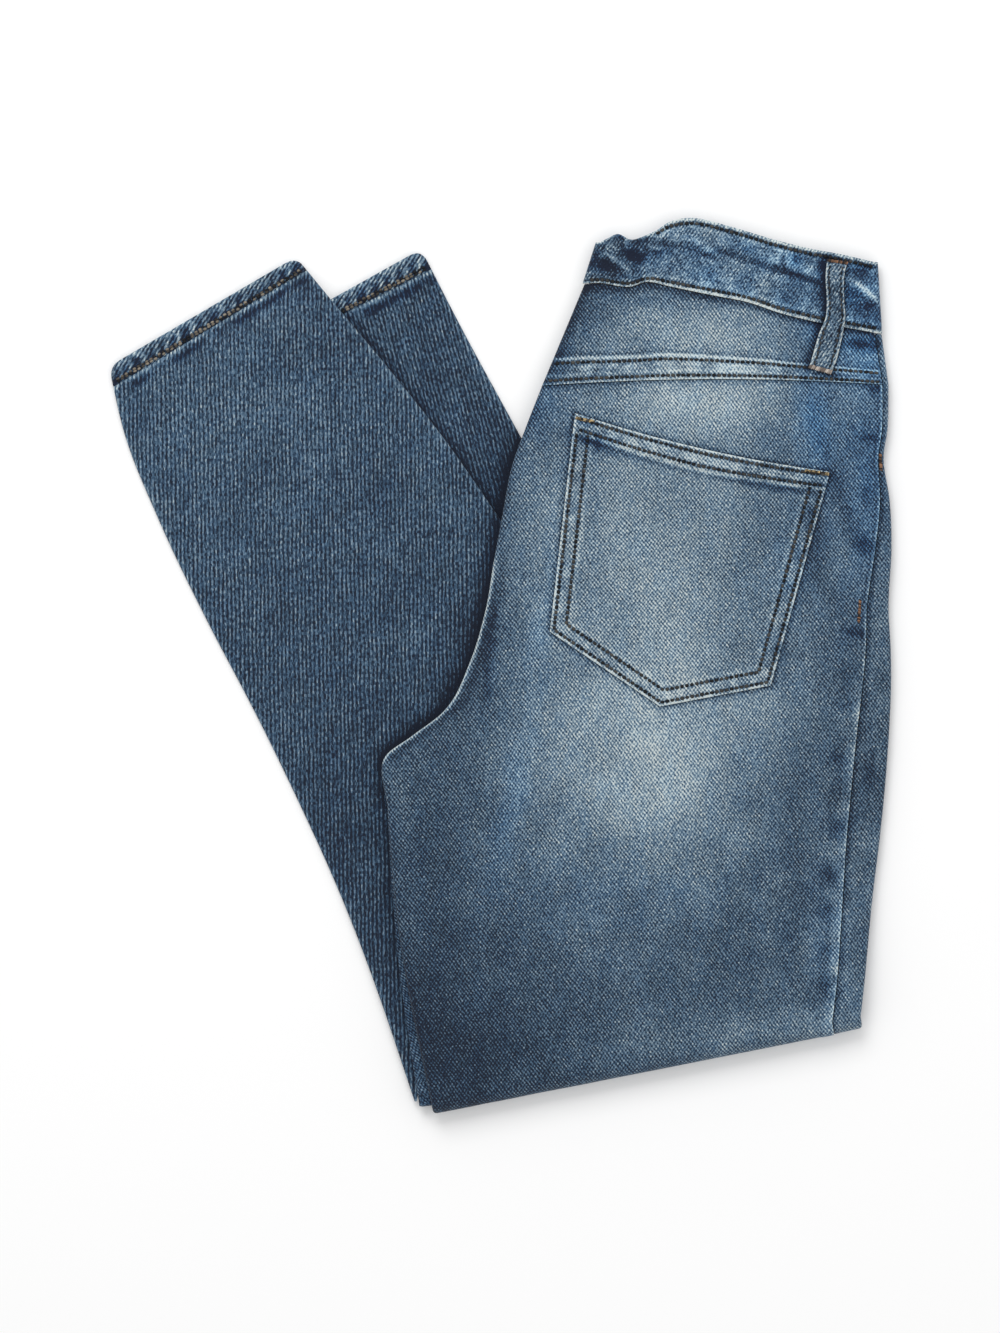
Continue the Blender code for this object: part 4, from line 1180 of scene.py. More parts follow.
def ring_wall(outer, inner):
    """Points and faces of a tube's wall, closed at both ends."""
    rows, around = outer.shape[:2]
    total = rows * around
    here = np.arange(around)
    after = np.roll(here, -1)
    faces = []
    for r in range(rows - 1):
        quad = np.column_stack([here, after, after + around, here + around]) + r * around
        faces.append(quad)
        faces.append(quad[:, ::-1] + total)
    faces.append(np.column_stack([after, here, here + total, after + total]))
    last = (rows - 1) * around
    faces.append(np.column_stack([here, after, after + total, here + total]) + last)
    return np.concatenate([outer.reshape(-1, 3), inner.reshape(-1, 3)]), np.concatenate(faces)


HEM_STITCH = HEM_DEPTH - 1.1


def make_hem(name, table, base, seed, replaces):
    """A turned-up hem: a flattened tube, puckered along its fold by washing."""
    rows = np.array([0.0, 0.25, 0.7, 1.3, 2.1, 3.0, 4.0, 5.0, 6.0, 7.0, 8.0, 8.6, 9.2, 9.8, 10.2, HEM_DEPTH])
    draws = np.array([0.8, 0.35, 0.1] + [0.0] * (len(rows) - 4) + [0.25])
    ends, _, width = leg_ends(table, rows)
    radius = HEM_THICK / 2
    columns = int(round(float(width[0, 0]) / HEM_GRID))
    turns = np.linspace(0, math.pi, 10)[None, 1:-1]
    shares = np.linspace(0, 1, columns)[None, :]
    short = HEM_CORNER - np.minimum(rows, HEM_CORNER)[:, None]
    low = HEM_CORNER - np.sqrt(HEM_CORNER**2 - short**2) + radius
    flat = low + (width - 2 * low) * shares
    around = np.hstack([flat, width - low + 0 * turns, flat[:, ::-1], low + 0 * (turns + width)])
    lean = np.hstack([0 * shares, turns, math.pi + 0 * shares, math.pi + turns]) + 0 * width
    rolled = np.hstack([
        flat,
        width - low + radius * turns,
        width - low + radius * math.pi + (width - low - flat[:, ::-1]),
        2 * (width - low) + radius * math.pi - low + radius * turns,
    ])
    grids = []
    for depth, draw in ((0.0, draws[:, None]), (HEM_WALL, 0.0)):
        reach = radius - depth - draw + 0 * around
        across = around + reach * np.sin(lean)
        x, y = between(ends, across, width)
        top = ramp(np.cos(lean), 0.2, 1)
        along = rows[:, None] + 0 * across
        slant = across + 0.5 * along
        rope = np.sin(2 * math.pi * slant / 8.0 + 2.2 * lumps(slant, along * 0.3, 16, seed))
        swell = (0.32 * rope + 0.25 * lumps(across, along, 9, seed + 1)) * ramp(along, 0, 1.5)
        swell *= fall(along, HEM_STITCH - 2, HEM_STITCH)
        groove = -0.55 * hill(along - HEM_STITCH, 0.9)
        lower = -0.35 * ramp(along, HEM_STITCH + 0.4, HEM_DEPTH)
        z = base(x, y) + radius + reach * np.cos(lean) + top * (swell + groove + lower - 0.15)
        grids.append(np.dstack([x, y, z]))
    middle = ramp(along, 2.2, 5)
    blotch = np.clip(-rope + 1.1 * lumps(across, along * 0.5, 7, seed + 2), -0.2, 1.1) * middle
    tick = np.clip(rope - 0.6, 0, 0.4) * middle * fall(along, HEM_STITCH - 1.5, HEM_STITCH)
    tone = 0.31 - 0.34 * blotch + 0.5 * tick + 0.16 * lumps(across, along, 3, seed + 3)
    tone += 0.20 * fall(along, 0.3, 4) + 0.14 * ramp(along, HEM_STITCH + 0.3, HEM_DEPTH)
    # Painted shade along the stitching's groove.
    tone -= 0.34 * hill(along - HEM_STITCH + 0.5, 1.6)
    blue = np.clip(0.15 + 0.5 * blotch, 0, 1)
    points, faces = ring_wall(*grids)
    cloth = np.dstack(between(ends, rolled, width))
    piece = two_walls(name, points, faces, cloth, (tone, blue), CLOTH["hem"], replaces)


BAND_STITCH_LOW = 0.065
BAND_STITCH_HIGH = 0.925
BAND_HEIGHT = 36.0
BAND_END = 2.6


def band_lumps(t, rise, size, seed):
    """Swelling along the waistband's own directions."""
    return lumps(t * 200.0, rise * 20.0, size, seed)


def band_face(t, rise):
    """Outer face of the waistband."""
    x, y = band_point(t, rise)
    uneven = 0.25 * lumps(x, y, 8, 71) + 0.15 * lumps(x, y, 4.5, 72)
    near_rows = hill(rise - 0.07, 0.10) + hill(rise - 0.92, 0.10)
    puckers = 0.35 * near_rows * band_lumps(t, rise, 6, 73)
    return x, y, body_top(x, y) + BAND_RAISE + creases(x, y, BAND_CREASES) + uneven + puckers


def with_ends(grid, out, up=0):
    """Adds columns beyond both ends of a grid, `out` farther and `up` higher, listed from the outermost."""
    left = np.repeat(grid[:, :1], len(out), axis=1)
    left[..., 0] -= out
    left[..., 2:] += (up + 0 * out)[:, None]
    right = np.repeat(grid[:, -1:], len(out), axis=1)
    right[..., 0] += out[::-1]
    right[..., 2:] += (up + 0 * out)[::-1, None]
    return np.hstack([left, grid, right])


def make_band():
    """The waistband's outer ply, rolled over both ends and rounded at its upper edge."""
    rises = np.array([0.0, 0.012, 0.03, 0.05, 0.065, 0.08, 0.10] + list(np.linspace(0.13, 0.87, 26))
                     + [0.89, 0.91, 0.925, 0.94, 0.955, 0.97, 0.982, 0.992, 1.0])
    drops = 0.9 * ramp(rises, 0.955, 1) ** 2 + 0.25 * fall(rises, 0, 0.02)
    ts = np.linspace(0.012, 0.988, 150)
    t, rise = np.meshgrid(ts, rises)
    x, y, z = band_face(t, rise)
    rows = 0.35 * (hill(rise - BAND_STITCH_LOW, 0.018)
                   + hill(rise - BAND_STITCH_HIGH, 0.018) * ramp(t, 0.33, 0.36))
    angles = curl(0.5, 6)
    grids = []
    for depth in (0.0, BAND_WALL):
        deep = depth + (drops if depth == 0.0 else -0.45 * drops)[:, None]
        flat = np.dstack([x, y, z - rows * (depth == 0.0) - deep])
        reach = BAND_END - depth
        grids.append(with_ends(flat, reach * np.sin(angles), depth - (BAND_END + reach * np.cos(angles))))
    cloth = with_ends(np.dstack([x, y]), BAND_END * (math.pi - angles))
    rise = np.repeat(rises[:, None], cloth.shape[1], axis=1)
    share = np.pad(ts, len(angles), mode="edge")[None, :] + 0 * rise
    px, py = cloth[..., 0], cloth[..., 1]
    tone = 0.51 - 0.18 * ramp(px, 120, 205) - 0.15 * fall(px, 66, 92)
    # Painted shade in the creases and painted highlight on their ridges.
    tone += np.clip(0.62 * creases(px, py, BAND_CREASES), -0.32, 0.26) + 0.07 * lumps(px, py, 13, 78)
    near = hill(rise - 0.13, 0.09) + hill(rise - 0.84, 0.10)
    tone += 0.18 * near * band_lumps(share, rise, 6, 73) + 0.11 * lumps(px, py, 4.5, 75)
    tone += 0.08 * lumps(px, py, 2.3, 79)
    broken = 1 + 0.7 * band_lumps(share, rise, 4, 77)
    tone += 0.30 * broken * fall(rise, 0.038, 0.05) + 0.24 * broken * ramp(rise, 0.95, 0.965)
    tone += row_wear_and_shade(BAND_HEIGHT * (rise - BAND_STITCH_LOW))
    tone += row_wear_and_shade(BAND_HEIGHT * (rise - BAND_STITCH_HIGH)) * ramp(px, 90, 96)
    blue = 0.12 + 0.22 * ramp(px, 80, 100) + 0.30 * ramp(px, 130, 205) + 0.2 * lumps(px, py, 10, 76)
    blue = np.clip(blue, 0, 1) * fall(rise, 0.93, 0.96) * ramp(rise, 0.04, 0.07)
    shades = stained_and_shaded(tone + loop_shade(px, py), blue, px, py, BAND_STAINS_SHADE_AND_HIGHLIGHT)
    panel("waistband_face", *grids, cloth, shades, "band", "waistband",
          "denim_waistband", ["waistband_plies"])


def ring_solid(rings, top_count, side_count):
    """Faces of a solid through rings that run: top columns, right side, bottom columns, left side."""
    rows, around = rings.shape[:2]
    here = np.arange(around)
    after = np.roll(here, -1)
    faces = []
    for r in range(rows - 1):
        faces += (np.column_stack([here, after, after + around, here + around]) + r * around).tolist()
    for base in (0, (rows - 1) * around):
        bottom = top_count + side_count
        for j in range(top_count - 1):
            low = bottom + top_count - 1 - j
            faces.append((base + j, base + j + 1, base + low - 1, base + low))
        faces.append(tuple(base + k for k in range(top_count - 1, bottom + 1)))
        faces.append(tuple(base + k for k in range(bottom + top_count - 1, around)) + (base,))
    return faces


def make_stack(name, rings, top_count, side_count, tone, replaces):
    """A stack of hidden plies that shows only at its edges."""
    rings[..., 2] = np.maximum(rings[..., 2], 0.0)
    girth = np.linalg.norm(np.diff(rings, axis=1, prepend=rings[:, -1:]), axis=2).cumsum(axis=1)
    flat = np.dstack([girth, rings[..., 1]]).reshape(-1, 2)
    values = {"wear_and_shade": tone, "blue": np.full(tone.shape, 0.3)}
    faces = ring_solid(rings, top_count, side_count)
    return new_piece(name, rings.reshape(-1, 3), faces, values, CLOTH["plies"], replaces, flat, 60)


PLY_STOPS = 19


def ply_side(total, peek, in_knee):
    """Inset and depth down one side of the hidden plies, which bulge as two folds below the upper one."""
    lower = BODY_EDGE * 2 + GAP + 0.4
    if in_knee:
        foot = total + WALL + PLY_GAP
        keys = [(2.0, 2.3), (3.1, 3.1), (3.3, 4.5), (-peek, 5.3), (-peek, foot - 5.3), (3.3, foot - 4.5)]
        at = np.linspace(0, len(keys) - 1, PLY_STOPS)
        return np.column_stack([np.interp(at, range(len(keys)), [k[i] for k in keys]) for i in (0, 1)])
    share = np.linspace(0, 1, PLY_STOPS - 3)
    bulge = np.abs(np.sin(2 * math.pi * share)) ** 0.6
    inset = 1.6 * (1 - bulge) - peek * np.minimum(1.0, bulge + 0.5)
    depth = lower + (total - 0.3 - lower) * share
    below = np.column_stack([inset, depth])
    return np.concatenate([np.array([(2.0, 2.3), (3.1, 3.1), (3.1, 4.3)]), below])


def make_plies():
    """The right front and the whole left half, one rounded stack that shows as plies at its edges."""
    depth = WALL + PLY_GAP
    rows = np.concatenate([
        steps_between(YOKE_FIRST + 1.0, KNEE - 12.0, 6.0),
        [KNEE - 9.5, KNEE - 7.0, KNEE - 3.5, KNEE],
    ])
    columns = 40
    rings = []
    for down in rows:
        at = np.array([down])
        width = float(body_width(at)[0])
        peek = float(body_ends(at)[5][0])
        near_knee = down > KNEE - 8.0
        across = np.linspace(3.8, width - 3.8, columns)
        x, y = body_plan(down + np.zeros(columns), across / width)
        top = np.column_stack([x, y, np.minimum(body_top(x, y), body_face(x, y)) - depth - 0.4])
        low = np.full(len(x), depth) if near_knee else body_base(x, y, 26.0)
        bottom = np.column_stack([x, y, low])
        sides = []
        for edge, sign, out in ((0.0, 1.0, peek), (width, -1.0, 0.0)):
            end = 0 if sign > 0 else -1
            total = float(body_top(x[end : end + 1 or None], y[end : end + 1 or None])[0] - low[end])
            steps = ply_side(total, out, down == KNEE)
            sx, sy = body_plan(down + np.zeros(len(steps)), (edge + sign * steps[:, 0]) / width)
            sides.append(np.column_stack([sx, sy, body_top(sx, sy) - steps[:, 1]]))
        rings.append(np.concatenate([top, sides[1], bottom[::-1], sides[0][::-1]]))
    last = rings[-1]
    middle = body_top(last[:, 0], last[:, 1]) / 2
    out = knee_direction()
    high = last[:, 2] - middle
    for angle in np.linspace(0.15, 1.4, 9):
        turned = last.copy()
        turned[:, :2] += out * (np.abs(high) * math.sin(angle) * 0.93)[:, None]
        turned[:, 2] = middle + high * math.cos(angle) * 0.99
        rings.append(turned)
    rings = np.array(rings)
    tone = 0.20 + 0.05 * lumps(rings[..., 1], rings[..., 2] * 6, 14, 81)
    piece = make_stack("folded_plies", rings, columns, PLY_STOPS, tone, "hidden_layers")


BAND_EDGE = ((0.972, 0.93), (0.985, 0.84), (0.972, 0.72), (0.955, 0.66), (0.98, 0.58), (0.992, 0.48),
             (0.98, 0.38), (0.957, 0.34), (0.975, 0.26), (0.985, 0.15), (0.975, 0.05))


def make_band_plies():
    """The three folded-in lengths of the waistband under the outer one."""
    steps = np.linspace(0, 1, 31)
    at = np.linspace(0, 1, len(BAND_EDGE))
    edge_rise = smooth(at, np.array([e[0] for e in BAND_EDGE]), steps)
    edge_high = smooth(at, np.array([e[1] for e in BAND_EDGE]), steps)
    shares = np.array([0.03, 0.35, 0.7, 0.94])
    rings = []
    for t in np.linspace(0.022, 0.978, 90):
        x, y = band_point(t, shares)
        high = body_top(x, y) + BAND_RAISE - BAND_WALL - GAP
        low = np.minimum(high, high + creases(x, y, BAND_CREASES) - 0.5)
        top = np.column_stack([x, y, low])
        bottom = np.column_stack([x, y, np.zeros(4)])
        ex, ey = band_point(t, edge_rise)
        right = np.column_stack([ex, ey, float(high[-1]) * edge_high])
        sx, sy = band_point(t, np.full(len(steps), 0.02))
        left = np.column_stack([sx, sy, float(high[0]) * np.linspace(0.05, 0.93, len(steps))])
        rings.append(np.concatenate([top, right, bottom[::-1], left]))
    rings = np.array(rings)
    tone = 0.34 + 0.08 * lumps(rings[..., 0], rings[..., 2] * 5, 9, 82)
    piece = make_stack("waistband_plies", rings, 4, len(steps), tone, "waistband_layers")


def pocket_plan(p, q):
    """Plan position on the pocket: p across its mouth, q from mouth to foot."""
    (ax, ay), (bx, by) = POCKET_MOUTH
    foot = np.array(POCKET_FOOT)
    top_x = ax + (bx - ax) * p
    top_y = ay + (by - ay) * p - POCKET_SAG * 4 * p * (1 - p)
    foot_x = np.interp(p, (0.0, 0.5, 1.0), foot[:, 0])
    foot_y = np.interp(p, (0.0, 0.5, 1.0), foot[:, 1])
    return top_x + (foot_x - top_x) * q, top_y + (foot_y - top_y) * q


def pocket_outline():
    p = np.linspace(0, 1, 33)
    top = np.column_stack(pocket_plan(p, np.zeros(33)))
    foot = np.array(POCKET_FOOT)[::-1]
    return np.concatenate([top, foot])


POCKET_OUTLINE = pocket_outline()
POCKET_ROWS = (2.2, 8.8)
HEM_BAND_ROWS = (2.1, 8.4)


def pocket_relief(x, y, below):
    """Pressed edges and the grooves that the stitching pulls in. below: distance under the mouth."""
    off = np.maximum(inside(x, y, POCKET_OUTLINE), 0.0)
    grooves = sum(0.28 * hill(off - row, 0.9) for row in POCKET_ROWS)
    grooves *= ramp(below, POCKET_HEM - 1, POCKET_HEM + 1)
    for row in HEM_BAND_ROWS:
        grooves += 0.28 * hill(below - row, 0.9)
    edge = 0.45 * fall(off, 0, 0.9)
    hem = (POCKET_HEM_WALL - WALL) * fall(below, POCKET_HEM - 0.2, POCKET_HEM + 0.5)
    puckers = 0.2 * lumps(x, y, 5, 91) * fall(off, 9.5, 13)
    return hem - grooves - edge + puckers, off


def make_pocket():
    """The back pocket, a patch laid on the seat with a doubled mouth."""
    fine = (0.0, 0.5, 1.1, 1.9, 2.8, 4.0)
    ps = close_ended(0.0, POCKET_WIDTH, POCKET_GRID, fine) / POCKET_WIDTH
    qs = close_ended(0.0, POCKET_DROP, POCKET_GRID, fine) / POCKET_DROP
    extra = np.array([POCKET_HEM - 0.3, POCKET_HEM + 0.1, POCKET_HEM + 0.5]) / POCKET_DROP
    qs = np.sort(np.concatenate([qs, extra]))
    p, q = np.meshgrid(ps, qs)
    x, y = pocket_plan(p, q)
    below = q * POCKET_DROP
    relief, off = pocket_relief(x, y, below)
    ground = body_face(x, y) + POCKET_GAP
    outer = np.dstack([x, y, ground + WALL + relief])
    inner = np.dstack([x, y, ground])
    tone = oval_patches(x, y, BODY_TONE, BODY_FADES_AND_SHADE) + 0.04 * lumps(x, y, 26, 93)
    broken = 1 + 0.8 * lumps(x, y, 3.2, 94)
    tone += 0.26 * broken * fall(off, 0.9, 1.4) - 0.04 * hill(off - 5.5, 3)
    body = ramp(below, POCKET_HEM + 1, POCKET_HEM + 3)
    tone += body * sum(row_wear_and_shade(off - row) for row in POCKET_ROWS)
    tone += 1.4 * sum(row_wear_and_shade(below - row) for row in HEM_BAND_ROWS) * (1 + 0.5 * lumps(x, y, 3, 94))
    tone += 0.20 * broken * hill(below - POCKET_HEM - 0.2, 0.8)
    # Painted shadow just under the hem band's lower edge.
    tone -= 0.16 * hill(below - POCKET_HEM - 2.4, 1.3)
    tone += 0.16 * lumps(x, y, 3.8, 92) * fall(off, 9.5, 12)
    blue = np.clip(oval_patches(x, y, 0.10, BODY_BLUES), 0, 1) * 0.7
    shades = stained_and_shaded(tone, blue, x, y, POCKET_STAINS_AND_SHADE)
    panel("back_pocket", outer, inner, np.dstack([x, y]), shades, "pocket", "pocket_back_right",
          "denim_pocket", ["seat_and_thigh"], "laid")


def loop_ground(y):
    """How far the waistband raises what lies on it, from the belt loop's foot up."""
    return BAND_RAISE * ramp(y, 176, 196)


def loop_plan(t, share):
    """Plan position on the belt loop, and how far it stands off there."""
    lx, ly, rx, ry, lift = columns_at(LOOP, t, np.linspace(0, 1, len(LOOP)))
    return lx + (rx - lx) * share, ly + (ry - ly) * share, lift


def loop_face(t, share):
    """Underside of the belt loop above what it crosses."""
    x, y, lift = loop_plan(t, share)
    return x, y, body_top(x, y) + loop_ground(y) + LOOP_GAP + lift


def make_loop():
    """A folded strap tacked at both ends, bowed over the waistband's seam."""
    ts = np.linspace(0, 1, 64)
    half = [0.0, 0.03, 0.07, 0.12, 0.18, 0.24, 0.32, 0.41]
    shares = np.array(half + [0.5, 0.59, 0.68, 0.76, 0.82, 0.88, 0.93, 0.97, 1.0])
    share, t = np.meshgrid(shares, ts)
    x, y, low = loop_face(t, share)
    side = np.minimum(share, 1 - share)
    edge = 0.8 * fall(side, 0, 0.07)
    grooves = 0.35 * hill(side - 0.17, 0.05)
    ends = 0.5 * fall(np.minimum(t, 1 - t), 0, 0.03)
    top = low + LOOP_WALL - edge - grooves - ends + 0.12 * lumps(x, y, 5, 95)
    outer = np.dstack([x, y, top])
    inner = np.dstack([x, y, low])
    tone = 0.38 + 0.46 * fall(side, 0.04, 0.10) + 0.10 * lumps(x, y, 4, 96) + 0.10 * lumps(x, y, 2, 97)
    tone += 0.10 * hill(t - 0.85, 0.12) - 0.26 * hill(side - 0.18, 0.05)
    shades = (tone, np.full(tone.shape, 0.05))
    panel("belt_loop", outer, inner, np.dstack([x, y]), shades, "loop", "belt_loop_back_right",
          "denim_waistband", ["waistband_face", "back_yoke"], "laid")


def stitch_shape():
    """One stitch, modelled once: a short capsule whose ends dip into the cloth, 1 long and 1 thick."""
    bpy.ops.object.select_all(action="DESELECT")
    bpy.ops.mesh.primitive_uv_sphere_add(segments=6, ring_count=6, radius=0.5)
    made = bpy.context.object
    bpy.ops.object.mode_set(mode="EDIT")
    bpy.ops.mesh.select_all(action="SELECT")
    bpy.ops.transform.rotate(value=math.pi / 2, orient_axis="Y", center_override=(0.0, 0.0, 0.0))
    bpy.ops.object.mode_set(mode="OBJECT")
    mesh = made.data
    points = np.array([v.co for v in mesh.vertices])
    faces = [tuple(p.vertices) for p in mesh.polygons]
    bpy.data.objects.remove(made, do_unlink=True)
    bpy.data.meshes.remove(mesh)
    points[:, 0] = np.sign(points[:, 0]) * np.abs(2 * points[:, 0]) ** 0.8 / 2
    points[:, 2] = 0.7 * points[:, 2] - 0.25 * (2 * points[:, 0]) ** 2
    return points, faces


STITCH_POINTS, STITCH_FACES = stitch_shape()
STITCH_PITCH = 2.9
STITCH_LENGTH = 2.5
STITCH_THICK = 1.9
STITCH_LIFT = 0.35
HEM_PITCH = 2.7
TACK_PITCH = 0.75
PATH_POINTS = 400


def stitches(name, places, length, thick, kind, seed):
    """Many stitches in one mesh. places: rows of (x, y, z, heading)."""
    rng = np.random.default_rng(seed)
    points, faces, shades = [], [], []
    for x, y, z, heading in places:
        turn = heading + rng.normal(0.0, 0.10)
        cos, sin = math.cos(turn), math.sin(turn)
        long = STITCH_POINTS[:, 0] * length * rng.uniform(0.9, 1.08)
        wide = STITCH_POINTS[:, 1] * thick * rng.uniform(0.85, 1.15)
        start = len(points) * len(STITCH_POINTS)
        points.append(np.column_stack([
            x + long * cos - wide * sin,
            y + long * sin + wide * cos,
            z + STITCH_POINTS[:, 2] * thick,
        ]))
        faces += [tuple(v + start for v in face) for face in STITCH_FACES]
        shades.append(np.full(len(STITCH_POINTS), rng.uniform(-0.5, 0.5)))
    new_piece(name, np.concatenate(points), faces, {"shade": np.concatenate(shades)}, THREAD[kind])


def path_run(points):
    """How far along a chain of points each one lies."""
    return np.concatenate([[0.0], np.linalg.norm(np.diff(points, axis=0), axis=1).cumsum()])


def along_path(x, y, z, pitch=STITCH_PITCH):
    """Stitch places at a steady pitch along a fine line of points."""
    run = path_run(np.column_stack([x, y, z]))
    count = max(1, int(run[-1] / pitch))
    at = (np.arange(count) + 0.5) * run[-1] / count
    place = [np.interp(at, run, values) for values in (x, y, z)]
    ahead, behind = np.minimum(at + 0.5, run[-1]), np.maximum(at - 0.5, 0.0)
    dx, dy = (np.interp(ahead, run, values) - np.interp(behind, run, values) for values in (x, y))
    return [tuple(row) for row in np.column_stack([*place, np.arctan2(dy, dx)])]


def band_rows():
    places = []
    for rise, first in ((BAND_STITCH_LOW, 0.02), (BAND_STITCH_HIGH, 0.37)):
        x, y, z = band_face(np.linspace(first, 0.985, PATH_POINTS), np.full(PATH_POINTS, rise))
        places += along_path(x, y, z + 0.4)
    return places


def yoke_rows():
    places = []
    for row in YOKE_ROWS:
        share = np.linspace(0.012, 0.975, PATH_POINTS)
        down = np.full(PATH_POINTS, row)
        x, y = body_plan(down, share)
        relief = yoke_relief(down, share * body_width(down))
        places += along_path(x, y, body_face(x, y) + relief + STITCH_LIFT)
    return places


def inset_line(corners, inset):
    """A line parallel to a chain of corners, inset to its left, with its own corners."""
    corners = np.asarray(corners, float)
    lines = []
    for a, b in zip(corners[:-1], corners[1:]):
        unit = (b - a) / np.linalg.norm(b - a)
        normal = np.array([-unit[1], unit[0]])
        lines.append((a + normal * inset, unit))
    points = [lines[0][0]]
    for (a, u), (b, v) in zip(lines[:-1], lines[1:]):
        cross = u[0] * v[1] - u[1] * v[0]
        gap = b - a
        points.append(a + u * (gap[0] * v[1] - gap[1] * v[0]) / cross)
    last, unit = lines[-1]
    points.append(last + unit * np.linalg.norm(corners[-1] - corners[-2]))
    return points


def filled(points, step=0.8):
    """A chain of corners with points between them."""
    made = []
    for a, b in zip(points[:-1], points[1:]):
        count = max(2, int(np.linalg.norm(np.subtract(b, a)) / step))
        made += [tuple(np.array(a) + (np.array(b) - np.array(a)) * k / count) for k in range(count)]
    made.append(tuple(points[-1]))
    return np.array(made)


def pocket_height(x, y, below):
    relief, _ = pocket_relief(x, y, below)
    return body_face(x, y) + POCKET_GAP + WALL + relief


def pocket_rows():
    """Two rows round the three lower edges and two across the hem."""
    (ax, ay), (bx, by) = POCKET_MOUTH
    chain = [(ax, ay), *POCKET_FOOT, (bx, by)]
    places = []
    for inset in POCKET_ROWS:
        line = filled(inset_line(chain, inset))
        start = 2.0 if inset < 5.0 else POCKET_HEM
        run = path_run(line)
        x, y = line[(run > start) & (run < run[-1] - start)].T
        places += along_path(x, y, pocket_height(x, y, np.full(len(x), 60.0)) + STITCH_LIFT)
    for below in HEM_BAND_ROWS:
        x, y = pocket_plan(np.linspace(0.02, 0.985, 300), np.full(300, below / POCKET_DROP))
        places += along_path(x, y, pocket_height(x, y, np.full(300, below)) + STITCH_LIFT)
    return places


def loop_rows():
    places = []
    for share in (0.17, 0.83):
        x, y, z = loop_face(np.linspace(0.05, 0.95, 200), np.full(200, share))
        places += along_path(x, y, z + LOOP_WALL - 0.2)
    return places


def hem_rows(table, base):
    """A chain stitch on the hem's upper face, which reads as two close rows."""
    share = np.linspace(0.02, 0.98, PATH_POINTS)
    places = []
    for down in (HEM_STITCH - 1.2, HEM_STITCH):
        x, y = between([float(v[0, 0]) for v in leg_ends(table, np.array([down]))[0]], share, 1.0)
        places += along_path(x, y, base(x, y) + HEM_THICK - 0.1, HEM_PITCH)
    return places


def bar(x0, y0, x1, y1, height):
    """Places of the close cross stitches of a bar tack."""
    run = math.hypot(x1 - x0, y1 - y0)
    count = int(run / TACK_PITCH)
    heading = math.atan2(y1 - y0, x1 - x0) + math.pi / 2 - 0.25
    places = []
    for k in range(count + 1):
        share = k / count
        x = x0 + (x1 - x0) * share
        y = y0 + (y1 - y0) * share
        places.append((x, y, float(height(np.array([x]), np.array([y]))[0]), heading))
    return places


def pocket_top_at(x, y):
    return pocket_height(x, y, np.full(np.shape(x), 2.0)) + STITCH_LIFT


def loop_top_at(x, y):
    return body_top(x, y) + loop_ground(y) + LOOP_GAP + LOOP_WALL + 0.15


def side_top_at(x, y):
    return body_face(x, y) + 0.75


def make_stitching():
    for seed, (name, places, length, thick, kind, slot) in enumerate((
        ("waistband_stitching", band_rows(), STITCH_LENGTH, STITCH_THICK, "dark", "denim_waistband"),
        ("yoke_stitching", yoke_rows(), STITCH_LENGTH, STITCH_THICK, "dark", "denim_seat"),
        ("pocket_stitching", pocket_rows(), STITCH_LENGTH, STITCH_THICK, "dark", "denim_pocket"),
        ("belt_loop_stitching", loop_rows(), STITCH_LENGTH, 1.2, "dark", "denim_waistband"),
        ("left_hem_stitching", hem_rows(LEFT_LEG, left_leg_base), 2.3, 1.5, "mixed", "denim_hem"),
        ("right_hem_stitching", hem_rows(RIGHT_LEG, on_table), 2.3, 1.5, "mixed", "denim_hem"),
    ), 101):
        stitches(name, places, length, thick, kind, seed)
    for seed, (name, ends, wide, height, kind, slot) in enumerate((
        ("pocket_tack_left", (43.5, 141.4, 53.5, 139.3), 2.2, pocket_top_at, "tan", "denim_pocket"),
        ("pocket_tack_right", (174.0, 111.5, 187.0, 109.6), 2.4, pocket_top_at, "tan", "denim_pocket"),
        ("belt_loop_tack_low", (176.6, 171.0, 188.6, 167.6), 3.0, loop_top_at, "pale", "denim_waistband"),
        ("belt_loop_tack_high", (186.6, 231.2, 197.6, 229.6), 2.0, loop_top_at, "rust", "denim_waistband"),
        ("side_tack_high", (216.8, 120.6, 217.2, 112.0), 1.9, side_top_at, "rust", "denim_seat"),
        ("side_tack_low", (205.2, 37.9, 204.4, 25.4), 1.9, side_top_at, "rust", "denim_seat"),
    ), 120):
        stitches(name, bar(*ends, height), wide, 1.0, kind, seed)


# Metres: the camera over the table, and the width that the photograph spans there.
CAMERA_HEIGHT = 2.4
PICTURE_WIDTH = 0.570


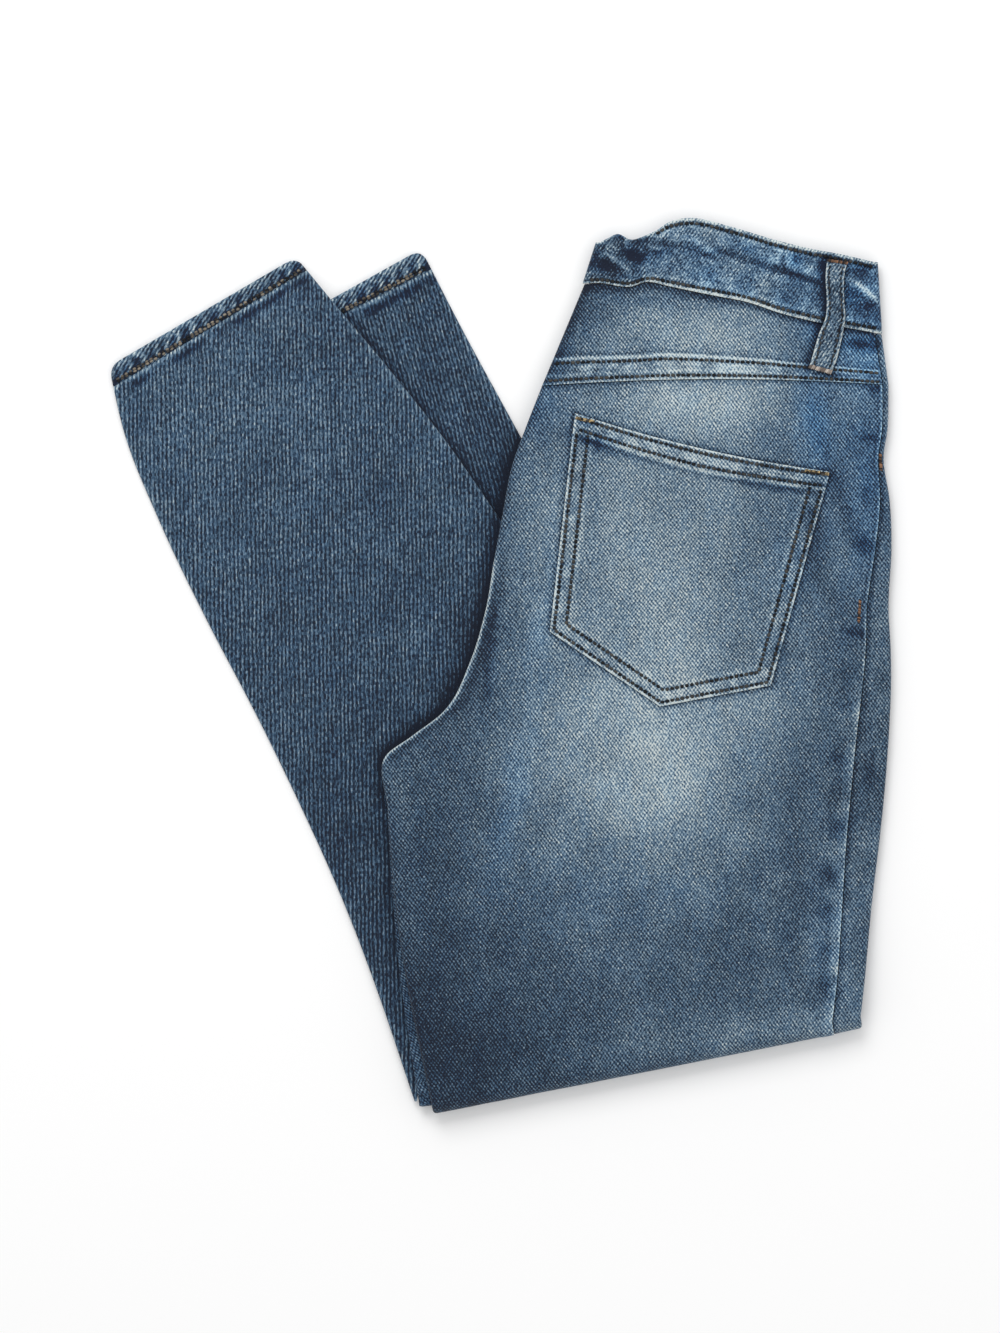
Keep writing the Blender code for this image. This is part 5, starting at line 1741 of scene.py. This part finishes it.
def make_stage():
    """A plain pale table top, soft light from the waist's side and the camera straight above."""
    bpy.ops.object.select_all(action="DESELECT")
    bpy.ops.mesh.primitive_plane_add(size=6.0, location=(0.0, 0.0, 0.0))
    table = bpy.context.object
    table.name = "table_top"
    bpy.ops.object.transform_apply(location=True, rotation=True, scale=True)
    paper = {"Roughness": 0.9, "Base Color": (0.95, 0.95, 0.95, 1.0), "Specular IOR Level": 0.1}
    material, _, _ = new_material("table_paper", paper)
    table.data.materials.append(material)

    scene = bpy.context.scene
    scene.view_settings.view_transform = "Standard"
    world = bpy.data.worlds.new("soft_room")
    world.use_nodes = True
    sky = world.node_tree
    feed(sky, sky.nodes["Background"], {"Color": (1.0, 1.0, 1.0, 1.0), "Strength": 0.70})
    scene.world = world

    for name, place, size, power in (
        ("key_light", (-0.5, 1.5, 1.7), 1.3, 26.0),
        ("fill_light", (1.2, -0.9, 2.0), 2.0, 7.0),
    ):
        light = bpy.data.lights.new(name, "AREA")
        light.shape = "SQUARE"
        light.size = size
        light.energy = power
        lamp = bpy.data.objects.new(name, light)
        lamp.location = place
        aim = math.atan2(place[1], place[0])
        lean = math.atan2(math.hypot(place[0], place[1]), place[2])
        lamp.rotation_euler = (0.0, lean, aim)
        scene.collection.objects.link(lamp)

    camera = bpy.data.cameras.new("camera")
    camera.sensor_fit = "HORIZONTAL"
    camera.sensor_width = 36.0
    camera.lens = camera.sensor_width * CAMERA_HEIGHT / PICTURE_WIDTH
    stand = bpy.data.objects.new("camera", camera)
    stand.location = (0.0, 0.0, CAMERA_HEIGHT + 0.008)
    scene.collection.objects.link(stand)
    scene.camera = stand


make_stage()
make_plies()
make_band_plies()
make_back()
make_yoke()
make_strip()
make_band()
make_pocket()
make_loop()
make_leg_upper("left_leg_back", LEFT_LEG, left_leg_base, LEFT_LEG_END, 41, LEFT_FADES_AND_SHADE, "left_leg",
               "back_left_calf", False)
make_leg_under("left_leg_front", LEFT_LEG, left_leg_base, LEFT_LEG_END, "left_leg", "front_left_calf", False)
make_leg_upper("right_leg_front", RIGHT_LEG, on_table, RIGHT_FRONT_END, 45, RIGHT_FADES, "right_leg",
               "front_right_calf", True)
make_leg_under("right_leg_back", RIGHT_LEG, on_table, RIGHT_BACK_END, "right_leg", "back_right_calf", True)
make_hem("left_hem", LEFT_LEG, left_leg_base, 55, "hem_left")
make_hem("right_hem", RIGHT_LEG, on_table, 65, "hem_right")
make_stitching()

bpy.context.view_layer.update()
